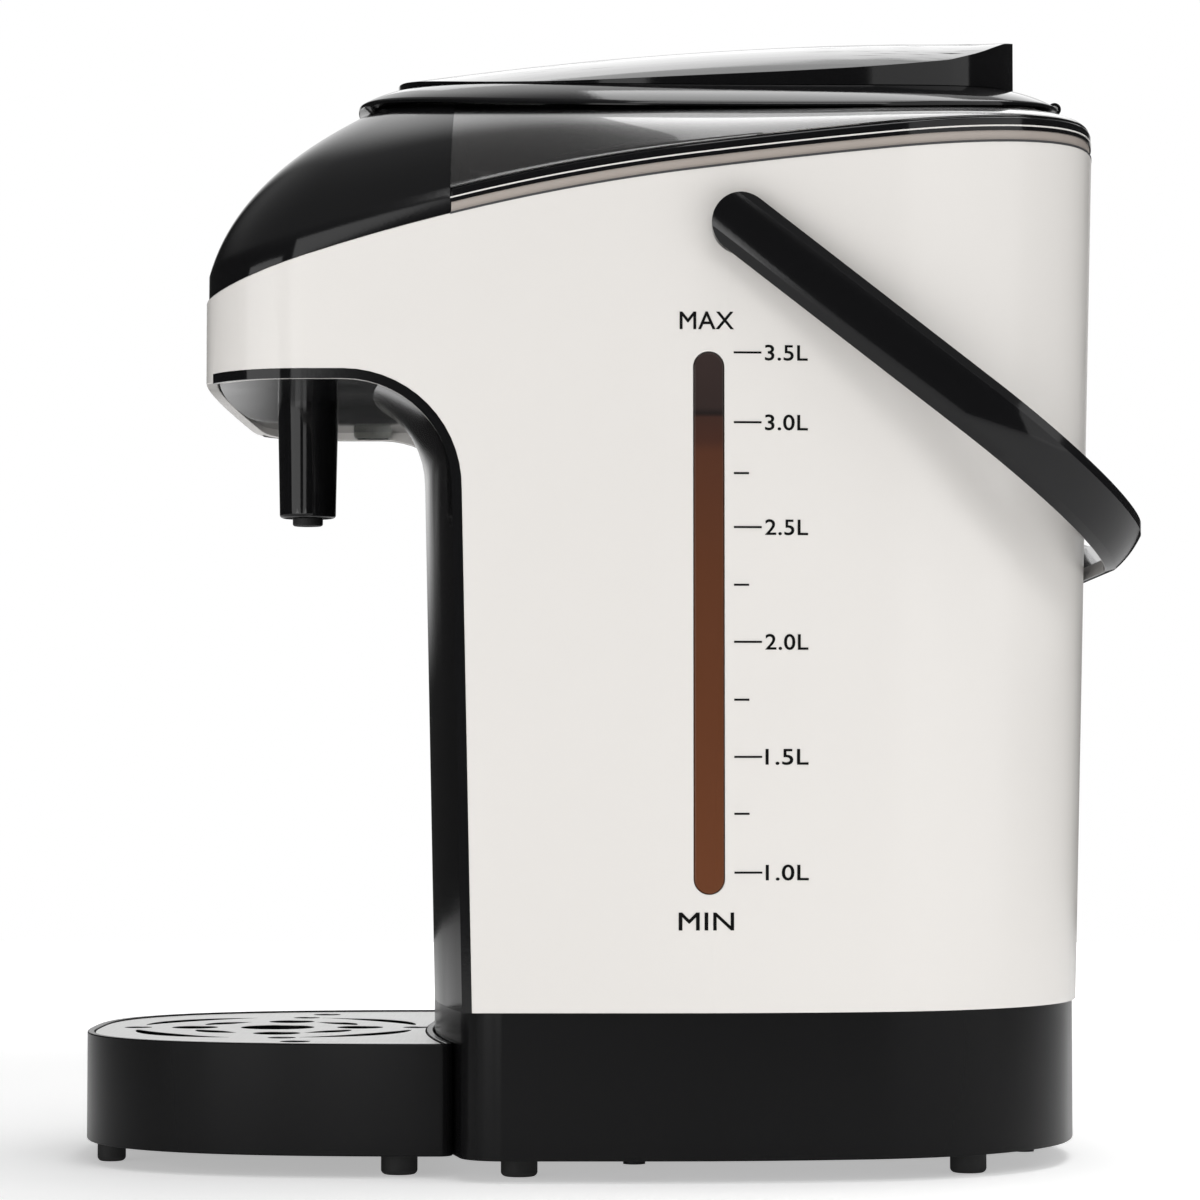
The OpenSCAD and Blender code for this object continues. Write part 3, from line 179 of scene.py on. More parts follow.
def brushed(name, colour, gloss, along=(1, 60, 60)):
    material, tree, shader = new_material(name)
    shader.inputs["Metallic"].default_value = 1
    streaks = noise_on_object(tree, STREAK_SCALE, STREAK_DETAIL, along)
    mix = add(tree, "ShaderNodeMix", data_type="RGBA")
    mix.inputs["A"].default_value = (*colour, 1)
    mix.inputs["B"].default_value = (*[c * STREAK_SHADE for c in colour], 1)
    tree.links.new(streaks.outputs["Fac"], mix.inputs["Factor"])
    tree.links.new(mix.outputs["Result"], shader.inputs["Base Color"])
    tree.links.new(spread(tree, streaks.outputs["Fac"], *gloss), shader.inputs["Roughness"])
    bump = add(tree, "ShaderNodeBump", Strength=STREAK_STRENGTH, Distance=STREAK_DEPTH)
    tree.links.new(streaks.outputs["Fac"], bump.inputs["Height"])
    tree.links.new(bump.outputs["Normal"], shader.inputs["Normal"])
    return material


stainless = brushed("stainless", (0.78, 0.78, 0.77), (0.26, 0.38))
tank_steel = brushed("tank_steel", (0.6, 0.6, 0.6), (0.25, 0.4), (60, 60, 1))
aluminium = brushed("aluminium", (0.66, 0.67, 0.68), (0.35, 0.5))
black_steel = brushed("black_steel", (0.03, 0.03, 0.032), (0.3, 0.45))
brass = brushed("brass", (0.7, 0.52, 0.25), (0.25, 0.4))
print("metals:", stainless.name, tank_steel.name, aluminium.name, black_steel.name, brass.name)

# %% [markdown]
# Four pieces let light through. The collar round the lid is smoky clear plastic, the lamp under the
# head and the sight tube are plain clear plastic, and the lenses are deep amber. Transmission on the
# main shader with a dark base colour tints the light each time it crosses a wall. The collar also has a
# clear coat, which makes its reflections brighter and lets them fade softly.

# %% Clear plastics
PLASTIC_IOR, COAT_IOR, COAT_ROUGHNESS = 1.5, 1.75, 0.2
HAZE_SCALE = 25


def clear(name, colour, gloss, through=1.0, coat=0.0):
    material, tree, shader = new_material(name)
    shader.inputs["Base Color"].default_value = (*colour, 1)
    shader.inputs["Transmission Weight"].default_value = through
    shader.inputs["IOR"].default_value = PLASTIC_IOR
    shader.inputs["Coat Weight"].default_value = coat
    shader.inputs["Coat IOR"].default_value = COAT_IOR
    shader.inputs["Coat Roughness"].default_value = COAT_ROUGHNESS
    haze = noise_on_object(tree, HAZE_SCALE).outputs["Fac"]
    tree.links.new(spread(tree, haze, *gloss), shader.inputs["Roughness"])
    return material


smoky = clear("smoky", (0.09, 0.086, 0.083), (0.02, 0.05), coat=1.0)
clear_plastic = clear("clear_plastic", (0.86, 0.88, 0.86), (0.05, 0.12))
amber_lens = clear("amber_lens", (0.55, 0.12, 0.03), (0.1, 0.2), 0.6)
print("clear plastics:", smoky.name, clear_plastic.name, amber_lens.name)

# %% [markdown]
# The level window is tinted brown. The water behind it shows as a lighter brown that warms towards
# the bottom, and above the water line the window is a dark grey brown. A colour ramp along Z on
# Object coordinates paints this, because the water itself isn't part of the model.

# %% Level window finish
WINDOW_LOW = 0.0771
WINDOW_HIGH = 0.2224
WATER_LINE = 0.2056
WINDOW_SPECULAR, WINDOW_GLOSS, WINDOW_HAZE = 0.3, (0.15, 0.25), 40


def window_finish():
    material, tree, shader = new_material("amber_window")
    place = tree.nodes.new("ShaderNodeTexCoord")
    split = tree.nodes.new("ShaderNodeSeparateXYZ")
    colours = tree.nodes.new("ShaderNodeValToRGB")
    line = (WATER_LINE - WINDOW_LOW) / (WINDOW_HIGH - WINDOW_LOW)
    stops = [(0.0, (0.135, 0.044, 0.017)), (0.6, (0.105, 0.037, 0.017)),
             (line - 0.07, (0.085, 0.032, 0.018)), (line - 0.05, (0.06, 0.025, 0.017)),
             (line - 0.004, (0.05, 0.024, 0.018)), (line, (0.012, 0.01, 0.01)),
             (line + 0.012, (0.034, 0.023, 0.021)), (1.0, (0.04, 0.027, 0.025))]
    elements = colours.color_ramp.elements
    while len(elements) < len(stops):
        elements.new(0.5)
    for element, (where, colour) in zip(elements, stops):
        element.position = where
        element.color = (*colour, 1)
    tree.links.new(place.outputs["Object"], split.inputs["Vector"])
    tree.links.new(spread(tree, split.outputs["Z"], 0, 1, WINDOW_LOW, WINDOW_HIGH), colours.inputs["Fac"])
    tree.links.new(colours.outputs["Color"], shader.inputs["Base Color"])
    shader.inputs["Specular IOR Level"].default_value = WINDOW_SPECULAR
    haze = noise_on_object(tree, WINDOW_HAZE).outputs["Fac"]
    tree.links.new(spread(tree, haze, *WINDOW_GLOSS), shader.inputs["Roughness"])
    return material


amber_window = window_finish()
print("window finish:", amber_window.name)

# %% [markdown]
# Most pieces keep their CAD shape and gain what a mould or a press gives them: rounded edges. A copy
# of the CAD mesh is merged, its flat triangles are joined into clean faces, and a bevel rounds each
# sharp edge. Weighted normals then keep flat walls flat and let the curved ones run smoothly.

# %% Helper: a CAD node with rounded edges
MERGE_AT, THIN_AT, FLAT_WITHIN = 2e-6, 1e-6, math.radians(0.3)
FLAT_WEIGHT = 80


def clean_copy(node):
    mesh = frame["nodes"][node].data.copy()
    cleaner = bmesh.new()
    cleaner.from_mesh(mesh)
    bmesh.ops.remove_doubles(cleaner, verts=cleaner.verts, dist=MERGE_AT)
    bmesh.ops.dissolve_degenerate(cleaner, edges=cleaner.edges, dist=THIN_AT)
    bmesh.ops.dissolve_limit(cleaner, verts=cleaner.verts, edges=cleaner.edges, angle_limit=FLAT_WITHIN)
    cleaner.to_mesh(mesh)
    cleaner.free()
    return mesh


def body_of(node):
    return frame["nodes"][node]["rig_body"]


def link(name, mesh):
    piece = bpy.data.objects.new(name, mesh)
    bpy.context.scene.collection.objects.link(piece)
    return piece


def dress(piece, material, node, replace=True):
    piece.data.materials.clear()
    piece.data.materials.append(material)
    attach(piece, body_of(node))
    if replace:
        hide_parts(node)
    return piece


def smooth(piece, angle=35, weighted=True):
    piece.data.polygons.foreach_set("use_smooth", [True] * len(piece.data.polygons))
    piece.data.set_sharp_from_angle(angle=math.radians(angle))
    if weighted:
        even = piece.modifiers.new("even_normals", "WEIGHTED_NORMAL")
        even.keep_sharp = True
        even.weight = FLAT_WEIGHT


def rounded(node, material, radius, segments=3, angle=40, mesh=None):
    piece = dress(link(node + "_piece", mesh or clean_copy(node)), material, node)
    if radius:
        bevel = piece.modifiers.new("round_edges", "BEVEL")
        bevel.width = radius
        bevel.segments = segments
        bevel.limit_method = "ANGLE"
        bevel.angle_limit = math.radians(angle)
    smooth(piece)
    return piece


print("rounding helpers ready for", len(frame["nodes"]), "nodes")

# %% [markdown]
# The handle is a flat band bent into a bail, and the band's outer face is slightly rounded across its
# width, so a highlight runs along it. Cutting the CAD mesh lengthwise gives rows of points, and each row
# sinks with the square of its distance from the band's middle line. Only faces that look outwards move.

# %% Crown on the handle
HANDLE_DROP, BAND_HALF, BAND_FALL = math.radians(37.9), 0.0057, 0.0006
BAND_ROWS, BAND_SHARE, BAIL_MIDDLE, EDGE_ON = 9, 0.8, 0.06, 0.05
CUT_WITHIN = 1e-7


def slice_up(shape, places, normal):
    for place in places:
        everything = shape.verts[:] + shape.edges[:] + shape.faces[:]
        bmesh.ops.bisect_plane(shape, geom=everything, dist=CUT_WITHIN, plane_co=place, plane_no=normal)
    shape.normal_update()


def crowned_handle(mesh, pivot):
    across = Vector((0, math.sin(HANDLE_DROP), math.cos(HANDLE_DROP)))
    middle = pivot + Vector((0, math.cos(HANDLE_DROP), -math.sin(HANDLE_DROP))) * BAIL_MIDDLE
    shape = bmesh.new()
    shape.from_mesh(mesh)
    shares = np.linspace(-BAND_SHARE, BAND_SHARE, BAND_ROWS)
    slice_up(shape, [pivot + across * BAND_HALF * share for share in shares], across)
    moves = []
    for point in shape.verts:
        outer = [face.normal for face in point.link_faces
                 if abs(face.normal.dot(across)) < EDGE_ON and face.normal.dot(point.co - middle) > 0]
        if outer:
            share = (point.co - pivot).dot(across) / BAND_HALF
            moves.append((point, sum(outer, Vector()).normalized() * -BAND_FALL * share ** 2))
    for point, move in moves:
        point.co += move
    shape.to_mesh(mesh)
    shape.free()
    return mesh


swing = next(joint for joint in frame["record"]["behaviour"]["joints"] if joint["name"] == "handle_swing")
bail = crowned_handle(clean_copy("carry_handle"), Vector(swing["pos_m"]))
print("handle points after the crown:", len(bail.vertices))

# %% [markdown]
# The large outer pieces come next. Each line names a CAD node, its finish and the radius of its edges.
# The trims and the fascia meet other pieces along thin edges, so they stay sharp.

# %% Body, base, tray and handle
made = [
    rounded("carry_handle", black_gloss, 0.001, 3, 25, bail),
    rounded("body_shell", white_gloss, 0.0004, 2),
    rounded("arch_trims", black_gloss, 0),
    rounded("front_fascia", black_fascia, 0),
    rounded("base_housing", black_base, 0.0008),
    rounded("bottom_cover", dark_plastic, 0.0003, 2),
    rounded("base_feet", black_rubber, 0.0004, 2),
    rounded("drip_tray", black_base, 0.0009),
    rounded("tray_feet", black_rubber, 0.0004, 2),
    rounded("handle_stubs", black_gloss, 0.0005, 2),
    rounded("spout_body", black_gloss, 0.0004, 2),
    rounded("spout_nozzle", black_rubber, 0.0002, 2),
    rounded("cup_lamp", clear_plastic, 0.0003, 2),
    rounded("level_window", amber_window, 0.0004, 2),
]
print("outer pieces:", [piece.name for piece in made])

# %% [markdown]
# The top is the hardest form of the object: a black control dome in front and a smoky collar behind
# it both sweep from the shell's sloping top edge up to the lid's rounded outline. The CAD model does it
# with flat facets. Here the same rule runs with many more points: each rib is a curve from a point on
# the body's outline to its partner on the lid's outline, and a skin joins the ribs.

# %% Outlines of the body and of the lid, in millimetres
HALF_W, SIDE_R, REAR_CORNER_R, SIDE_TURN, REAR_TURN = 100.0, 283.0, 78.0, 11.8, 75.5
BODY_REAR, REAR_LEAN, BASE_TOP = 134.9, 1.4, 45.4
HEAD_FRONT, HEAD_BOW, HEAD_CORNER = 114.1, 800.0, 28.0
EDGE_Y, TOP_EDGE_Z, TOP_EDGE_R, TOP_SLOPE = 21.6, 271.9, 560.0, 7.2
LID_A, LID_B, LID_Y, LID_Z, LID_PITCH, CROWN_R, LID_POWER = 82.0, 102.0, 29.0, 301.1, 0.3, 370.0, 2.5
SEAM_Y, TOP_INSET, TOP_WALL, TOP_RISE, LID_LAP, FREE, FIT = 42.8, 0.6, 2.5, 6.8, 4.0, 0.4, 0.2


def sine(degrees):
    return math.sin(math.radians(degrees))


def cosine(degrees):
    return math.cos(math.radians(degrees))


def tangent(degrees):
    return math.tan(math.radians(degrees))


def arc(centre, radius, start, stop, steps=48):
    turn = np.radians(np.linspace(start, stop, steps + 1))
    return np.column_stack((centre[0] + radius * np.cos(turn), centre[1] + radius * np.sin(turn)))


side_c = np.array((HALF_W - SIDE_R, 0))
corner_c = side_c + (SIDE_R - REAR_CORNER_R) * np.array((cosine(SIDE_TURN), sine(SIDE_TURN)))
back_r = REAR_CORNER_R + corner_c[0] / cosine(REAR_TURN)
back_c = corner_c - (back_r - REAR_CORNER_R) * np.array((cosine(REAR_TURN), sine(REAR_TURN)))
side_end = BODY_REAR - back_c[1] - back_r


def edge_z(y):
    centre_y = EDGE_Y + TOP_EDGE_R * sine(TOP_SLOPE)
    centre_z = TOP_EDGE_Z - TOP_EDGE_R * cosine(TOP_SLOPE)
    front = centre_z + np.sqrt(TOP_EDGE_R ** 2 - (np.minimum(y, EDGE_Y) - centre_y) ** 2)
    return np.where(y > EDGE_Y, TOP_EDGE_Z + (y - EDGE_Y) * tangent(TOP_SLOPE), front)


def rear_half(inset, shift):
    lift = np.array((0, side_end + shift))
    return np.vstack((arc(side_c + lift, SIDE_R - inset, 0, SIDE_TURN)[:-1],
                      arc(corner_c + lift, REAR_CORNER_R - inset, SIDE_TURN, REAR_TURN)[:-1],
                      arc(np.array((0, back_c[1])) + lift, back_r - inset, REAR_TURN, 90)))


def front_half(inset):
    turn = math.degrees(math.asin((HALF_W - HEAD_CORNER) / (HEAD_BOW - HEAD_CORNER)))
    centre = (HALF_W - HEAD_CORNER, HEAD_BOW - HEAD_FRONT - (HEAD_BOW - HEAD_CORNER) * cosine(turn))
    return np.vstack((arc(centre, HEAD_CORNER - inset, 0, turn - 90)[:-1],
                      arc((0, HEAD_BOW - HEAD_FRONT), HEAD_BOW - inset, turn - 90, -90)))


def whole(right):
    return np.vstack((right, right[-2::-1] * (-1, 1)))


def evenly(path, parts):
    run = np.concatenate(([0], np.cumsum(np.linalg.norm(np.diff(path, axis=0), axis=1))))
    at = np.linspace(0, run[-1], parts + 1)
    return np.column_stack([np.interp(at, run, path[:, k]) for k in (0, 1)])


def lid_outline(step, start, stop, steps):
    turn = np.radians(np.linspace(start, stop, steps + 1))
    x, y = np.cos(turn), np.sin(turn)
    power = 2 / LID_POWER
    return np.column_stack(((LID_A - step) * np.sign(x) * np.abs(x) ** power,
                            LID_Y + (LID_B - step) * np.sign(y) * np.abs(y) ** power))


def lid_under(points):
    x, y = points[..., 0], points[..., 1]
    return LID_Z - (y - LID_Y) * tangent(LID_PITCH) - CROWN_R + np.sqrt(CROWN_R ** 2 - x ** 2)


print("straight side ends at", round(side_end, 2), "mm, rear arc radius", round(back_r, 1), "mm")

# %% [markdown]
# A rib is a curve with three control points: one on the shell's edge, one under the lid and a knee
# between them that gives the bulge. The same ribs a wall's thickness further in make the inner face. The
# points of each rib form a closed ring, and flat caps close both ends, so that the skin is watertight.

# %% Ribs and skins
BULGE_IN, BULGE_UP = 0.15, 0.55
PARTS, LID_POINTS, DOME_STEPS, COLLAR_STEPS = 160, 240, 24, 20
COLLAR_FOOT = 0.5


def ribs(outer, inner, rise, drop, steps):
    low = np.column_stack((outer, edge_z(outer[:, 1]) + rise))
    high = np.column_stack((inner, lid_under(inner) - FREE - drop))
    knee_z = low[:, 2] + (high[:, 2] - low[:, 2]) * BULGE_UP
    knee = np.column_stack((outer + (inner - outer) * BULGE_IN, knee_z))
    t = np.linspace(0, 1, steps + 1)[None, :, None]
    return (1 - t) ** 2 * low[:, None] + 2 * t * (1 - t) * knee[:, None] + t ** 2 * high[:, None]


def foot(outer, rise):
    return np.column_stack((outer, edge_z(outer[:, 1]) + rise))[:, None]


def skin_mesh(name, rings, loop=False):
    rows, count = rings.shape[:2]
    mesh = bpy.data.meshes.new(name)
    faces = []
    for j in range(rows if loop else rows - 1):
        for i in range(count):
            n = (j + 1) % rows
            m = (i + 1) % count
            faces.append((j * count + i, j * count + m, n * count + m, n * count + i))
    if not loop:
        faces += [tuple(range(count))[::-1], tuple((rows - 1) * count + i for i in range(count))]
    mesh.from_pydata((rings.reshape(-1, 3) * MM).tolist(), [], faces)
    closing = bmesh.new()
    closing.from_mesh(mesh)
    bmesh.ops.recalc_face_normals(closing, faces=closing.faces)
    closing.to_mesh(mesh)
    closing.free()
    return mesh


def shell_rings(outer, inside, inner, foot_rise, rise, steps):
    outer_face = ribs(outer, inner, rise, 0, steps)
    inner_face = ribs(inside, inner, rise, TOP_WALL, steps)[:, ::-1]
    return np.concatenate((foot(outer, foot_rise), outer_face, inner_face, foot(inside, foot_rise)), axis=1)


def seam_angle(step):
    return -math.degrees(math.asin(((LID_Y + SEAM_Y) / (LID_B - step)) ** (LID_POWER / 2)))


def dome_edge(inset, parts):
    return evenly(whole(np.vstack(([[HALF_W - inset, -SEAM_Y]], front_half(inset)))), parts)


def collar_edge(inset, parts):
    shift = (float(edge_z(BODY_REAR)) - BASE_TOP) * tangent(REAR_LEAN)
    return evenly(whole(np.vstack(([[HALF_W - inset, -SEAM_Y]], rear_half(inset, shift)))), parts)


turn_at_seam = seam_angle(LID_LAP)
dome_o = dome_edge(TOP_INSET, PARTS)
dome_in = dome_edge(TOP_INSET + TOP_WALL, PARTS)
dome_lid = evenly(lid_outline(LID_LAP, turn_at_seam, -180 - turn_at_seam, LID_POINTS), PARTS)
dome_mesh = skin_mesh("control_dome", shell_rings(dome_o, dome_in, dome_lid, FIT, TOP_RISE, DOME_STEPS))
collar_o = collar_edge(TOP_INSET, PARTS)
collar_in = collar_edge(TOP_INSET + TOP_WALL, PARTS)
collar_lid = evenly(lid_outline(LID_LAP, turn_at_seam, 180 - turn_at_seam, LID_POINTS), PARTS)
collar_mesh = skin_mesh("smoky_collar", shell_rings(collar_o, collar_in, collar_lid, TOP_RISE,
                                                    TOP_RISE + COLLAR_FOOT, COLLAR_STEPS))
print("dome faces", len(dome_mesh.polygons), "collar faces", len(collar_mesh.polygons))

# %% [markdown]
# Holes and notches are cut by booleans, with a cylinder as a drill and a box as a block. The result is
# made a plain mesh at once, because a cutter has no place in the finished scene.

# %% Helpers: cutters
DRILL_SIDES = 72


def baked(piece):
    graph = bpy.context.evaluated_depsgraph_get()
    mesh = bpy.data.meshes.new_from_object(piece.evaluated_get(graph))
    piece.modifiers.clear()
    piece.data = mesh
    return piece


def cut(piece, cutters):
    for cutter in cutters:
        hole = piece.modifiers.new("hole", "BOOLEAN")
        hole.operation = "DIFFERENCE"
        hole.solver = "EXACT"
        hole.object = cutter
    baked(piece)
    for cutter in cutters:
        bpy.data.objects.remove(cutter)
    return piece


def drill(centre, axis, radius, length):
    mesh = bpy.data.meshes.new("drill")
    shape = bmesh.new()
    bmesh.ops.create_cone(shape, cap_ends=True, segments=DRILL_SIDES, radius1=radius, radius2=radius,
                          depth=length)
    shape.transform(Matrix.Translation(centre) @ Vector(axis).to_track_quat("Z", "Y").to_matrix().to_4x4())
    shape.to_mesh(mesh)
    shape.free()
    return link("drill", mesh)


def block(low, high):
    mesh = bpy.data.meshes.new("block")
    shape = bmesh.new()
    bmesh.ops.create_cube(shape, size=1)
    size = Vector(high) - Vector(low)
    shape.transform(Matrix.Translation((Vector(low) + Vector(high)) / 2) @ Matrix.Diagonal((*size, 1)))
    shape.to_mesh(mesh)
    shape.free()
    return link("block", mesh)


print("cutters: drill with", DRILL_SIDES, "sides, and block")

# %% [markdown]
# The dome has round holes for three keys and three lenses. A key's hole runs along the key's own axis,
# which the joint in the CAD model gives. A lens hole is square to the dome: the cross product of two
# short steps on its face gives the direction. The collar has no holes.

# %% Dome with its holes, and the collar
KEY_HOLES = (("dispense", 10.4), ("boil", 6.4), ("lock", 6.4))
LENS_AT, LENS_UP, LENS_HOLE = (0.47, 0.5, 0.53), 0.8, 2.3
KEY_DEPTH, LENS_DEPTH, FINE_STEPS = 0.03, 0.02, 100
SKIN_CREASE = 30


def points_of(node):
    points = np.empty(len(frame["nodes"][node].data.vertices) * 3)
    frame["nodes"][node].data.vertices.foreach_get("co", points)
    return points.reshape(-1, 3)


axes = {joint["child"]: joint["axis"] for joint in frame["record"]["behaviour"]["joints"]}
drills = [drill(Vector(points_of(body + "_key").mean(axis=0)), axes[body], radius * MM, KEY_DEPTH)
          for body, radius in KEY_HOLES]
face = ribs(dome_o, dome_lid, TOP_RISE, 0, FINE_STEPS)
up = round(LENS_UP * FINE_STEPS)
for share in LENS_AT:
    row = round(share * PARTS)
    across = Vector(face[row + 2, up] - face[row - 2, up])
    along = Vector(face[row, up + 3] - face[row, up - 3])
    drills.append(drill(Vector(face[row, up]) * MM, across.cross(along), LENS_HOLE * MM, LENS_DEPTH))
dome = dress(cut(link("control_dome", dome_mesh), drills), black_gloss, "control_panel")
smooth(dome, SKIN_CREASE, False)
collar = dress(link("smoky_collar", collar_mesh), smoky, "top_collar")
smooth(collar, SKIN_CREASE, False)
print("dome", len(dome.data.polygons), "faces, collar", len(collar.data.polygons), "faces")

# %% [markdown]
# Under the head a shiny black panel closes the space round the spout, close to the shell's lower edge.
# It is a plate with the head's own outline, a little inset, and the ends of its rear edge reach further
# back, towards the arch.

# %% Plate under the head
PLATE_INSET, PLATE_LOW, PLATE_HIGH = 3.5, 217.8, 221.5
PLATE_REAR, PLATE_BOW, PLATE_POINTS = -68.0, 0.00118, 25


def panel_plate():
    front = whole(front_half(PLATE_INSET))
    x = np.linspace(front[-1, 0], front[0, 0], PLATE_POINTS)
    outline = np.vstack((front, np.column_stack((x, PLATE_REAR + PLATE_BOW * x ** 2))))
    levels = [np.full(len(outline), z) for z in (PLATE_LOW, PLATE_HIGH)]
    return skin_mesh("panel_plate", np.array([np.column_stack((outline, level)) for level in levels]))


plate = dress(link("panel_plate", panel_plate()), black_gloss, "front_fascia", False)
smooth(plate, SKIN_CREASE, False)
print("plate under the head:", len(plate.data.polygons), "faces")

# %% [markdown]
# Where the collar meets the shell, thin bands run round the edge. The first is a dark band under the grey
# strip, which is a painted shadow standing in for the gap there. The second is a black lip. The third is a
# pale band on the rim above it, which is a painted highlight. Each is a narrow band that follows the
# collar's edge, with its lower and upper height above that edge and its inset in millimetres. Bands are
# skinned like the collar.

# %% Lines along the collar's edge
LINE_DEPTH = 0.6
# The first band is painted shadow under the grey strip and the last is a painted highlight on the rim; the
# black lip between them is the rim's own colour.
EDGE_LINES = (("painted_strip_shadow", -0.3, 0.3, -0.08, dark_plastic), ("rim_lip", 2.9, 3.9, 0.08, black_gloss),
              ("painted_rim_highlight", 4.0, 4.4, 0.02, white_gloss))
for name, low, high, inset, finish in EDGE_LINES:
    path, back = collar_edge(inset, PARTS), collar_edge(inset + LINE_DEPTH, PARTS)
    rings = np.concatenate((foot(path, low), foot(path, high), foot(back, high), foot(back, low)), axis=1)
    band = dress(link(name, skin_mesh(name, rings)), finish, "collar_strip", False)
    smooth(band, SKIN_CREASE, False)
print("edge lines:", [line[0] for line in EDGE_LINES])

# %% [markdown]
# The lid's rim slopes from its outer edge up to the lid top in a soft curve. A short profile of steps
# inwards and rises is carried round the lid's outline, and the last ring joins the first. Two blocks then
# cut the notch for the hinge at the rear.

# %% Lid rim
LID_STEP, RIM_T, RIM_EDGE, RIM_LAP = 11.5, 5.6, 1.2, 1.0
RIM_KNEE, RIM_CORNER, RIM_FREE = (4.6, 3.9), 0.12, 0.02
RIM_LOW, RIM_UNDER, RIM_ROUND, RIM_STEPS = 0.15, 0.3, 0.3, 14
RIM_CREASE = 40
NOTCH_WIDE = ((-0.0168, 0.1245, 0.28), (0.0168, 0.16, 0.33))
NOTCH_DEEP = ((-0.0122, 0.1145, 0.28), (0.0122, 0.16, 0.33))
profile = [(0, RIM_LOW), (0, RIM_EDGE - RIM_ROUND)]
for t in np.linspace(0, 1, RIM_STEPS):
    inwards = 2 * t * (1 - t) * RIM_KNEE[0] + t * t * LID_STEP + RIM_CORNER * (1 - t) ** 2
    upwards = (1 - t) ** 2 * RIM_EDGE + 2 * t * (1 - t) * RIM_KNEE[1] + t * t * (RIM_T - RIM_FREE)
    profile.append((inwards, upwards))
profile += [(LID_STEP + RIM_LAP, RIM_T - RIM_FREE), (LID_STEP + RIM_LAP, 0), (RIM_UNDER, 0)]
rim_rings = []
for step, rise in profile:
    line = lid_outline(step, 0, 360, LID_POINTS)[:-1]
    rim_rings.append(np.column_stack((line, lid_under(line) + rise)))
rim_mesh = skin_mesh("lid_rim", np.array(rim_rings), True)
notch = [block(*NOTCH_WIDE), block(*NOTCH_DEEP)]
rim = dress(cut(link("lid_rim_piece", rim_mesh), notch), black_gloss, "lid_rim")
smooth(rim, RIM_CREASE, False)
print("lid rim:", len(rim.data.polygons), "faces")

# %% [markdown]
# The lid top is crowned across its width: its long edges lie lower than its middle line, most of all
# near the rear. The CAD copy is cut lengthwise, as the handle was, and each upper point sinks with the
# square of its distance from the middle. How far it sinks at the edge changes along the lid.

# %% Crown on the lid
LID_TOP_A, LID_TOP_B = LID_A - LID_STEP, LID_B - LID_STEP
FALL_AT, FALL = (-62, -40, 16, 60, 96, 105, 113), (0, 0.5, 1.3, 2.3, 3.4, 2.4, 0.6)
LID_CUT_X, LID_CUTS, LID_FACES_UP, LID_END = 0.065, 14, 0.8, 0.999


def crowned_lid(mesh):
    shape = bmesh.new()
    shape.from_mesh(mesh)
    slice_up(shape, [(x, 0, 0) for x in np.linspace(-LID_CUT_X, LID_CUT_X, LID_CUTS)], (1, 0, 0))
    for point in shape.verts:
        if max(face.normal.z for face in point.link_faces) > LID_FACES_UP:
            x, y = point.co.x / MM, point.co.y / MM
            along = min(abs(y - LID_Y) / LID_TOP_B, LID_END)
            half = LID_TOP_A * (1 - along ** LID_POWER) ** (1 / LID_POWER)
            point.co.z -= np.interp(y, FALL_AT, FALL) * min(abs(x) / half, 1) ** 2 * MM
    shape.to_mesh(mesh)
    shape.free()
    return mesh


lid_mesh = crowned_lid(clean_copy("lid_top"))
print("lid top points after the crown:", len(lid_mesh.vertices))

# %% [markdown]
# The drip grille is cut into a thin steel sheet on top and a black lower layer with the same holes. The
# black
# layer is painted shade: it makes the hole walls dark, so the holes look black from the side. Two copies of
# the
# CAD grille are cut at the sheet's lower face, one from below and one from above. The black layer rides
# with the sheet, which takes the CAD node's place in the next cell.

# %% Grille in two layers
SHEET_LOW = 0.03573
WIDE, ABOVE = 0.2, 0.1
under_sheet = block((-WIDE, -WIDE, 0), (WIDE, WIDE, SHEET_LOW))
sheet = cut(link("sheet", clean_copy("drip_grille")), [under_sheet])
over_sheet = block((-WIDE, -WIDE, SHEET_LOW), (WIDE, WIDE, ABOVE))
painted_shade_layer = cut(link("grille_painted_shade", clean_copy("drip_grille")), [over_sheet])
# The black lower layer is painted shade, standing in for the shade inside the grille's holes.
smooth(dress(painted_shade_layer, black_base, "drip_grille", False))
print("grille carrier:", len(painted_shade_layer.data.polygons), "faces")

# %% [markdown]
# Apart from the lid's crown and the grille's sheet, the pieces that are left keep their CAD shape. Their
# edges are rounded by half a millimetre or less.

# %% Lid, keys, edge bands and grille sheet
made = [
    rounded("collar_strip", strip_grey, 0.0003, 2),
    rounded("drip_grille", stainless, 0, mesh=sheet.data),
    rounded("collar_rim", black_gloss, 0.0004, 2),
    rounded("lid_flange", black_gloss, 0.0003, 2),
    rounded("lid_top", black_gloss, 0.0005, mesh=lid_mesh),
    rounded("steam_vent", dark_plastic, 0.0002, 2),
    rounded("hinge_ears", black_gloss, 0.0002, 2),
    rounded("dispense_key", key_plastic, 0.0002, 2),
    rounded("boil_key", key_plastic, 0.0002, 2),
    rounded("lock_key", key_plastic, 0.0002, 2),
    rounded("indicator_lenses", amber_lens, 0.0001, 2),
]
bpy.data.objects.remove(sheet)
print("top pieces:", [piece.name for piece in made])

# %% [markdown]
# A litre scale is printed on the wall beside the window. Print is a film a few hundredths of a
# millimetre thick that follows the wall, so each mark is laid on the same curve as the wall. The ticks
# are alike and repeat, so Geometry Nodes set one small bar on each of ten points, turned to the wall.

# %% Scale ticks
LITRES = ((3.5, 222.3), (3.0, 203.5), (2.5, 175.3), (2.0, 144.5), (1.5, 113.7), (1.0, 82.8))
HALVES = (189.8, 159.8, 129.0, 98.5)
TICK_FROM, TICK_LONG, TICK_SHORT, TICK_H, PROUD = 33.4, 7.5, 4.1, 0.55, 0.04


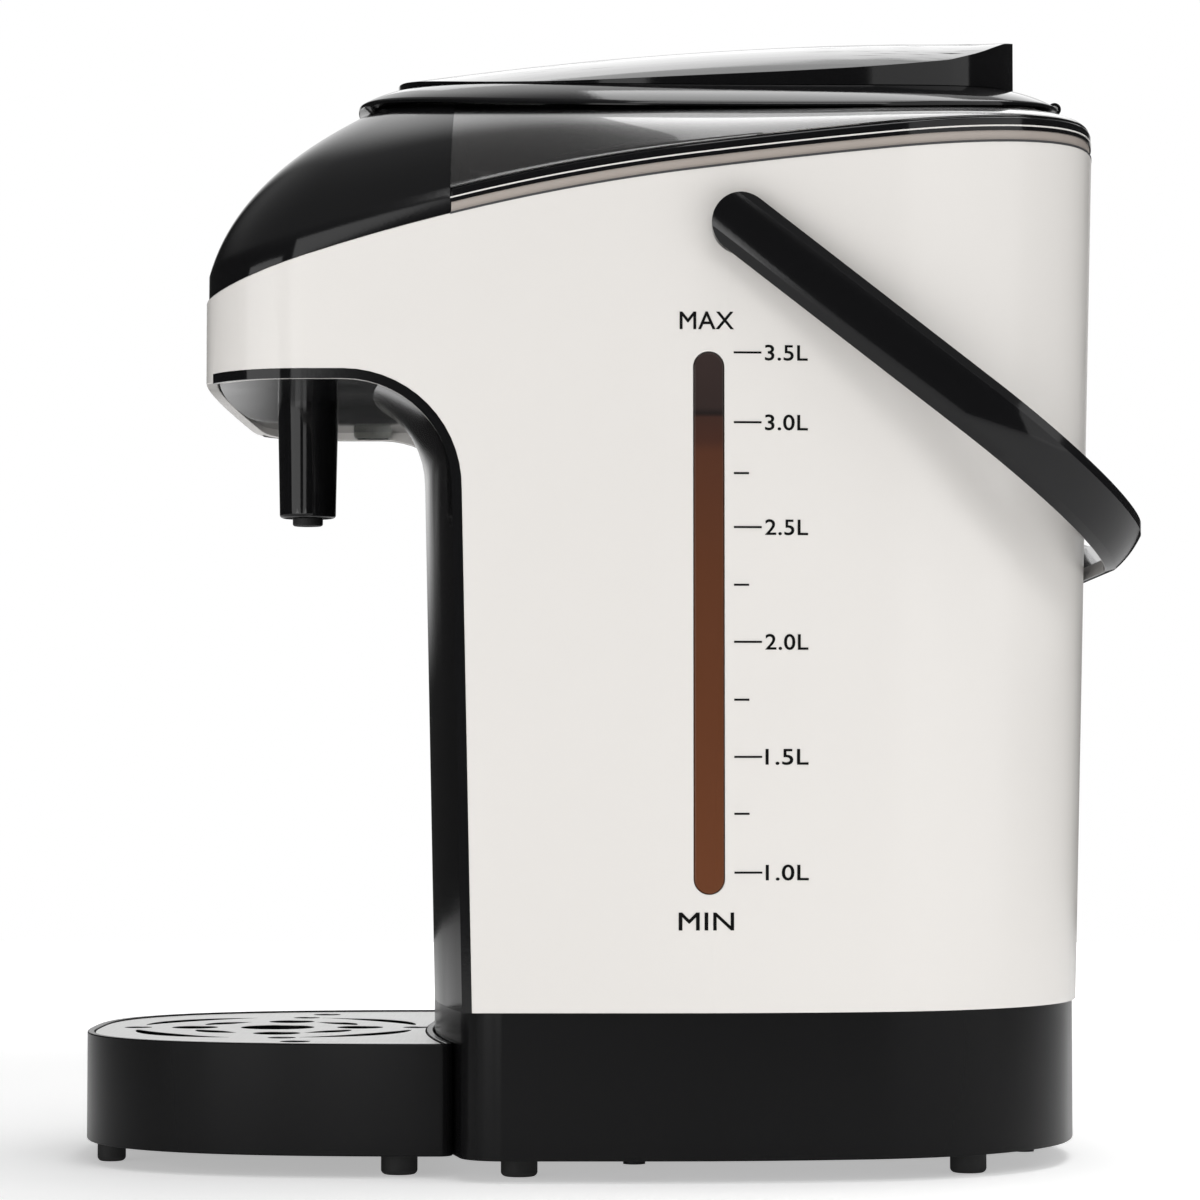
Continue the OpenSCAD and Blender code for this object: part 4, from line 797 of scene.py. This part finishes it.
def past_side(y, z):
    return np.maximum(y - side_end - (z - BASE_TOP) * tangent(REAR_LEAN), 0)


def wall_x(y, z):
    return HALF_W - SIDE_R + np.sqrt(SIDE_R ** 2 - past_side(y, z) ** 2)


def wall_turn(y, z):
    return math.asin(float(past_side(y, z)) / SIDE_R)


def repeat_tree(name, inputs):
    tree = bpy.data.node_groups.new(name, "GeometryNodeTree")
    tree.interface.new_socket("Geometry", in_out="INPUT", socket_type="NodeSocketGeometry")
    for socket in inputs:
        tree.interface.new_socket(socket, in_out="INPUT", socket_type="NodeSocketFloat")
    tree.interface.new_socket("Geometry", in_out="OUTPUT", socket_type="NodeSocketGeometry")
    return tree, tree.nodes.new("NodeGroupInput"), tree.nodes.new("NodeGroupOutput")


def finish_tree(tree, source, shape, output, material, turn=None, scale=None):
    place = tree.nodes.new("GeometryNodeInstanceOnPoints")
    real = tree.nodes.new("GeometryNodeRealizeInstances")
    paint = tree.nodes.new("GeometryNodeSetMaterial")
    paint.inputs["Material"].default_value = material
    tree.links.new(source, place.inputs["Points"])
    tree.links.new(shape, place.inputs["Instance"])
    if turn:
        tree.links.new(turn, place.inputs["Rotation"])
    if scale:
        tree.links.new(scale, place.inputs["Scale"])
    tree.links.new(place.outputs["Instances"], real.inputs["Geometry"])
    tree.links.new(real.outputs["Geometry"], paint.inputs["Geometry"])
    tree.links.new(paint.outputs["Geometry"], output.inputs["Geometry"])


def tick_tree():
    tree, source, output = repeat_tree("scale_ticks", ("Length", "Height", "Depth"))
    size = tree.nodes.new("ShaderNodeCombineXYZ")
    bar = tree.nodes.new("GeometryNodeMeshCube")
    for socket, axis in (("Depth", "X"), ("Length", "Y"), ("Height", "Z")):
        tree.links.new(source.outputs[socket], size.inputs[axis])
    tree.links.new(size.outputs["Vector"], bar.inputs["Size"])
    turn = add(tree, "GeometryNodeInputNamedAttribute", data_type="FLOAT_VECTOR", Name="turn")
    share = add(tree, "GeometryNodeInputNamedAttribute", data_type="FLOAT_VECTOR", Name="share")
    spin = tree.nodes.new("FunctionNodeEulerToRotation")
    tree.links.new(turn.outputs["Attribute"], spin.inputs["Euler"])
    finish_tree(tree, source.outputs["Geometry"], bar.outputs["Mesh"], output, print_black,
                spin.outputs["Rotation"], share.outputs["Attribute"])
    return tree


def grow(points, tree, values):
    modifier = points.modifiers.new("grow", "NODES")
    modifier.node_group = tree
    for item in tree.interface.items_tree:
        if item.in_out == "INPUT" and item.name in values:
            modifier[item.identifier] = values[item.name]
    return baked(points)


rows = [(z, TICK_LONG) for litre, z in LITRES] + [(z, TICK_SHORT) for z in HALVES]
middles = [(TICK_FROM + long / 2, z) for z, long in rows]
spots = [(float(wall_x(y, z)) * MM, y * MM, z * MM) for y, z in middles]
tick_points = bpy.data.meshes.new("tick_points")
tick_points.from_pydata(spots, [], [])
turns = tick_points.attributes.new("turn", "FLOAT_VECTOR", "POINT")
shares = tick_points.attributes.new("share", "FLOAT_VECTOR", "POINT")
for index, (y, z) in enumerate(middles):
    turns.data[index].vector = (0, 0, wall_turn(y, z))
    shares.data[index].vector = (1, rows[index][1] / TICK_LONG, 1)
ticks = grow(link("scale_ticks", tick_points), tick_tree(),
             {"Length": TICK_LONG * MM, "Height": TICK_H * MM, "Depth": 2 * PROUD * MM})
dress(ticks, print_black, "body_shell", False)
print("ticks:", len(rows), "bars,", len(ticks.data.polygons), "faces")

# %% [markdown]
# The words and figures start as text. Each is made a mesh while it is flat, its outline is pushed out a
# little for a heavier stroke, it is stretched to the size of the print, and then every point is moved
# onto the wall, so that the letters bend with it. Each label has its two ends along Y and along Z.

# %% Scale figures
STROKE, LETTER_GAP, CURVE_STEPS, SEAM_WITHIN = 0.012, 1.04, 4, 0.0001
WORDS = (("MAX", 18.9, 33.5, 228.5, 233.3), ("MIN", 18.5, 33.3, 67.4, 72.2))
FIGURE_FROM, FIGURE_TO, FIGURE_HALF = 41.8, 53.4, 2.15


def heavier(mesh):
    work = bmesh.new()
    work.from_mesh(mesh)
    bmesh.ops.remove_doubles(work, verts=work.verts, dist=SEAM_WITHIN)
    work.normal_update()
    for vertex in work.verts:
        sides = [face.normal for face in vertex.link_faces if abs(face.normal.z) < 0.5]
        vertex.co += sum(sides, Vector()).normalized() * STROKE
    work.to_mesh(mesh)
    work.free()


def printed(text, y0, y1, z0, z1):
    curve = bpy.data.curves.new("figures", "FONT")
    curve.body = text
    curve.extrude = 1.0
    curve.resolution_u = CURVE_STEPS
    curve.space_character = LETTER_GAP
    flat = link("figures", curve)
    graph = bpy.context.evaluated_depsgraph_get()
    mesh = bpy.data.meshes.new_from_object(flat.evaluated_get(graph))
    bpy.data.objects.remove(flat)
    heavier(mesh)
    points = np.empty(len(mesh.vertices) * 3)
    mesh.vertices.foreach_get("co", points)
    points = points.reshape(-1, 3)
    low, high = points.min(axis=0), points.max(axis=0)
    y = y0 + (points[:, 0] - low[0]) / (high[0] - low[0]) * (y1 - y0)
    z = z0 + (points[:, 1] - low[1]) / (high[1] - low[1]) * (z1 - z0)
    placed = np.column_stack((wall_x(y, z) + np.sign(points[:, 2]) * PROUD, y, z)) * MM
    mesh.vertices.foreach_set("co", placed.ravel())
    mesh.update()
    return mesh


labels = list(WORDS)
for litre, z in LITRES:
    labels.append((f"{litre:.1f}L", FIGURE_FROM, FIGURE_TO, z - FIGURE_HALF, z + FIGURE_HALF))
for index, label in enumerate(labels):
    dress(link(f"figures_{index}", printed(*label)), print_black, "body_shell", False)
print("figures:", [label[0] for label in labels])

# %% [markdown]
# Four screws of blackened steel hold the bottom cover. Their heads have a cross cut for the driver, which
# only shows from below. Geometry Nodes build one screw from two cylinders and two crossed bars, and set
# it at the lower end of each screw of the CAD model.

# %% Screws under the base
ROD_SIDES = 32
SCREW = {"Head radius": 0.003, "Head height": 0.002, "Shank radius": 0.0015, "Shank length": 0.016,
         "Cross length": 0.0038, "Cross width": 0.0008, "Cross depth": 0.0012}


def screw_tree():
    tree, source, output = repeat_tree("cover_screws", SCREW)

    def rod(radius, length, low):
        bar = add(tree, "GeometryNodeMeshCylinder", Vertices=ROD_SIDES)
        half = add(tree, "ShaderNodeMath", operation="MULTIPLY_ADD")
        half.inputs[1].default_value = 0.5
        move = tree.nodes.new("GeometryNodeTransform")
        offset = tree.nodes.new("ShaderNodeCombineXYZ")
        tree.links.new(source.outputs[radius], bar.inputs["Radius"])
        tree.links.new(source.outputs[length], bar.inputs["Depth"])
        tree.links.new(source.outputs[length], half.inputs[0])
        if low:
            tree.links.new(source.outputs[low], half.inputs[2])
        else:
            half.inputs[2].default_value = 0
        tree.links.new(half.outputs[0], offset.inputs["Z"])
        tree.links.new(bar.outputs["Mesh"], move.inputs["Geometry"])
        tree.links.new(offset.outputs[0], move.inputs["Translation"])
        return move.outputs["Geometry"]

    def bar(first, second):
        size = tree.nodes.new("ShaderNodeCombineXYZ")
        cube = tree.nodes.new("GeometryNodeMeshCube")
        double = add(tree, "ShaderNodeMath", operation="MULTIPLY")
        double.inputs[1].default_value = 2
        tree.links.new(source.outputs["Cross depth"], double.inputs[0])
        tree.links.new(source.outputs[first], size.inputs["X"])
        tree.links.new(source.outputs[second], size.inputs["Y"])
        tree.links.new(double.outputs[0], size.inputs["Z"])
        tree.links.new(size.outputs[0], cube.inputs["Size"])
        return cube.outputs["Mesh"]

    cross = tree.nodes.new("GeometryNodeMeshBoolean")
    cross.operation = "DIFFERENCE"
    tree.links.new(rod("Head radius", "Head height", None), cross.inputs["Mesh 1"])
    tree.links.new(bar("Cross length", "Cross width"), cross.inputs["Mesh 2"])
    tree.links.new(bar("Cross width", "Cross length"), cross.inputs["Mesh 2"])
    join = tree.nodes.new("GeometryNodeJoinGeometry")
    tree.links.new(cross.outputs["Mesh"], join.inputs["Geometry"])
    tree.links.new(rod("Shank radius", "Shank length", "Head height"), join.inputs["Geometry"])
    finish_tree(tree, source.outputs["Geometry"], join.outputs["Geometry"], output, black_steel)
    return tree


def corners_of(node):
    points = points_of(node)
    middle = (points.min(axis=0) + points.max(axis=0)) / 2
    found = []
    for right in (True, False):
        for rear in (True, False):
            group = points[((points[:, 0] > middle[0]) == right) & ((points[:, 1] > middle[1]) == rear)]
            low, high = group.min(axis=0), group.max(axis=0)
            found.append((*((low + high) / 2)[:2], low[2]))
    return found


screw_spots = corners_of("housing_screws")
screw_points = bpy.data.meshes.new("screw_points")
screw_points.from_pydata(screw_spots, [], [])
screws = grow(link("cover_screws", screw_points), screw_tree(), SCREW)
dress(screws, black_steel, "housing_screws")
smooth(screws, weighted=False)
print("screws at", [[round(v, 4) for v in spot] for spot in screw_spots])

# %% [markdown]
# The pieces inside, and the power inlet at the rear, keep their CAD meshes and only take a finish. Most
# of them are seen only through the collar or with the lid open.

# %% Inside pieces
INSIDE = {
    "water_tank": tank_steel, "tank_floor": tank_steel, "heater_plate": aluminium, "thermostats": brass,
    "tank_seal": silicone, "tank_deck": dark_plastic, "head_bulkhead": dark_plastic,
    "pump_housing": pump_plastic, "pump_motor": tank_steel, "pump_impeller": pump_plastic,
    "suction_hose": silicone, "riser_hose": silicone,
    "board_bracket": dark_plastic, "control_board": board_green, "power_board": board_green,
    "power_inlet": black_base, "inlet_pins": brass, "sight_tube": clear_plastic, "tube_fittings": silicone,
    "lid_hinge_pin": stainless, "lid_inner_cover": tank_steel, "lid_gasket": silicone,
}
for node, finish in INSIDE.items():
    for slot in frame["nodes"][node].material_slots:
        slot.material = finish
print("inside pieces:", len(INSIDE))

# %% [markdown]
# The studio starts with a white table. A glow that the camera doesn't see lifts the undersides. Another,
# for the camera alone, grows with the distance until the table is as white as the surround, and leaves
# the shadow near the object. Reflections see only the matte table, so black plastic stays black.

# %% Floor
FLOOR_SIDE, FLOOR_DOWN, TABLE_WHITE, TABLE_GLOW = 1.6, 0.00005, 0.9, 0.65
GLOW_NEAR, GLOW_FAR, GLOW_FROM, GLOW_TO = 0.42, 1.0, 0.35, 1.2
WHITE = (1, 1, 1, 1)


def either(tree, share, first, second):
    mix = tree.nodes.new("ShaderNodeMixShader")
    tree.links.new(share, mix.inputs[0])
    tree.links.new(first.outputs[0], mix.inputs[1])
    tree.links.new(second.outputs[0], mix.inputs[2])
    return mix


def floor_finish():
    material, tree, shader = new_material("floor_white")
    tree.nodes.remove(shader)
    matte = add(tree, "ShaderNodeBsdfDiffuse", Color=(TABLE_WHITE, TABLE_WHITE, TABLE_WHITE, 1))
    table = add(tree, "ShaderNodeEmission", Color=WHITE, Strength=TABLE_GLOW)
    sweep = add(tree, "ShaderNodeEmission", Color=WHITE)
    place = tree.nodes.new("ShaderNodeTexCoord")
    away = add(tree, "ShaderNodeVectorMath", operation="LENGTH")
    tree.links.new(place.outputs["Object"], away.inputs[0])
    glow = spread(tree, away.outputs["Value"], GLOW_NEAR, GLOW_FAR, GLOW_FROM, GLOW_TO, "SMOOTHSTEP")
    tree.links.new(glow, sweep.inputs["Strength"])
    path = tree.nodes.new("ShaderNodeLightPath")
    lit = tree.nodes.new("ShaderNodeAddShader")
    tree.links.new(matte.outputs[0], lit.inputs[0])
    tree.links.new(either(tree, path.outputs["Is Camera Ray"], table, sweep).outputs[0], lit.inputs[1])
    shown = either(tree, path.outputs["Is Glossy Ray"], lit, matte)
    tree.links.new(shown.outputs[0], tree.nodes["Material Output"].inputs["Surface"])
    return material


floor_mesh = bpy.data.meshes.new("floor")
corners = [(x * FLOOR_SIDE, y * FLOOR_SIDE, 0) for x, y in ((-1, -1), (1, -1), (1, 1), (-1, 1))]
floor_mesh.from_pydata(corners, [], [(0, 1, 2, 3)])
floor_mesh.materials.append(floor_finish())
floor = link("floor", floor_mesh)
floor.location.z = -FLOOR_DOWN
print("floor", floor.dimensions[:2])

# %% [markdown]
# The surround is white for the camera and through clear plastic, and a weak fill for the rest. For
# reflections alone it is a dark room, as with black cards in a real studio, with three lighter places:
# a patch behind the object, which the steel and the lid show, a dim ceiling, and a white card low behind
# the spout, which lies on the panel under the head. Each place is a range of directions, or a product
# of a few.

# %% Surround
FILL = 0.13


def product(tree, first, second, plus=None):
    node = add(tree, "ShaderNodeMath", operation="MULTIPLY_ADD")
    node.inputs[2].default_value = 0
    for source, socket in zip((first, second, plus), node.inputs):
        if source is not None:
            tree.links.new(source, socket)
    return node.outputs[0]


def studio_world():
    world = bpy.data.worlds.new("studio")
    bpy.context.scene.world = world
    world.use_nodes = True
    tree = world.node_tree
    tree.nodes.clear()
    output = tree.nodes.new("ShaderNodeOutputWorld")
    white = add(tree, "ShaderNodeBackground", Color=WHITE, Strength=1.0)
    fill = add(tree, "ShaderNodeBackground", Color=WHITE, Strength=FILL)
    mirror = add(tree, "ShaderNodeBackground", Strength=1.0)
    place = tree.nodes.new("ShaderNodeTexCoord")
    split = tree.nodes.new("ShaderNodeSeparateXYZ")
    side = add(tree, "ShaderNodeMath", operation="ABSOLUTE")
    tree.links.new(place.outputs["Generated"], split.inputs["Vector"])
    tree.links.new(split.outputs["Y"], side.inputs[0])
    behind = spread(tree, split.outputs["X"], 1, 0, -0.75, -0.4, "SMOOTHSTEP")
    narrow = spread(tree, side.outputs[0], 0.85, 0, 0.14, 0.32, "SMOOTHSTEP")
    raised = spread(tree, split.outputs["Z"], 0, 1, 0.02, 0.07, "SMOOTHSTEP")
    ceiling = spread(tree, split.outputs["Z"], 0.02, 0.2, 0.3, 0.6, "SMOOTHSTEP")
    below = spread(tree, split.outputs["Z"], 1, 0, -0.096, -0.084, "SMOOTHSTEP")
    ahead = spread(tree, split.outputs["Y"], 1.1, 0, -0.1, -0.072, "SMOOTHSTEP")
    patch = product(tree, product(tree, behind, narrow), raised, ceiling)
    card = product(tree, product(tree, below, ahead), behind, patch)
    tree.links.new(card, mirror.inputs["Color"])
    path = tree.nodes.new("ShaderNodeLightPath")
    seen = add(tree, "ShaderNodeMath", operation="MAXIMUM")
    tree.links.new(path.outputs["Is Camera Ray"], seen.inputs[0])
    tree.links.new(path.outputs["Is Transmission Ray"], seen.inputs[1])
    unseen = either(tree, path.outputs["Is Glossy Ray"], fill, mirror)
    tree.links.new(either(tree, seen.outputs[0], unseen, white).outputs[0], output.inputs["Surface"])


studio_world()
print("surround:", bpy.context.scene.world.name)

# %% [markdown]
# Eight softboxes light the object. Two hang above, and their reflections lie on the lid and the collar.
# One high in front lights the wall with the scale, and a weak one stands high at the back. A narrow one
# beside the camera puts the bright patch on the dome, a low one lifts the underside of the head, and the
# last two light the shell's ends. Each has its place, its target, its width, height and brightness.

# %% Lamps
SOFTBOXES = (
    ("above", (-0.1, 0.25, 1.45), (-0.1, 0.25, 0), 1.6, 0.64, 2.7),
    ("above_rear", (-0.52, 0.72, 1.45), (-0.52, 0.72, 0), 0.76, 0.46, 2.9),
    ("front", (1.25, 0.34, 1.05), (0, 0.1, 0.28), 1.15, 0.4, 2.8),
    ("back", (-1.25, 0.25, 0.98), (0, 0.05, 0.3), 1.0, 0.5, 0.9),
    ("beside", (1.56, -0.34, 0.42), (0, 0, 0.25), 0.32, 0.84, 1.4),
    ("low", (0.9, -0.5, 0.03), (0, -0.08, 0.22), 0.8, 0.3, 1.5),
    ("left", (0.95, -1.08, 0.28), (0, 0, 0.28), 1.0, 0.52, 1.6),
    ("right", (0.68, 1.3, 0.62), (0, 0, 0.3), 1.5, 1.3, 0.8),
)
for name, place, target, width, height, radiance in SOFTBOXES:
    data = bpy.data.lights.new(name, "AREA")
    data.shape = "RECTANGLE"
    data.size = width
    data.size_y = height
    data.energy = radiance * math.pi * width * height
    lamp = link(name, data)
    lamp.location = place
    lamp.rotation_euler = (Vector(target) - Vector(place)).to_track_quat("-Z", "Y").to_euler()
bpy.context.scene.view_settings.view_transform = "Standard"
print("lamps:", [lamp[0] for lamp in SOFTBOXES])
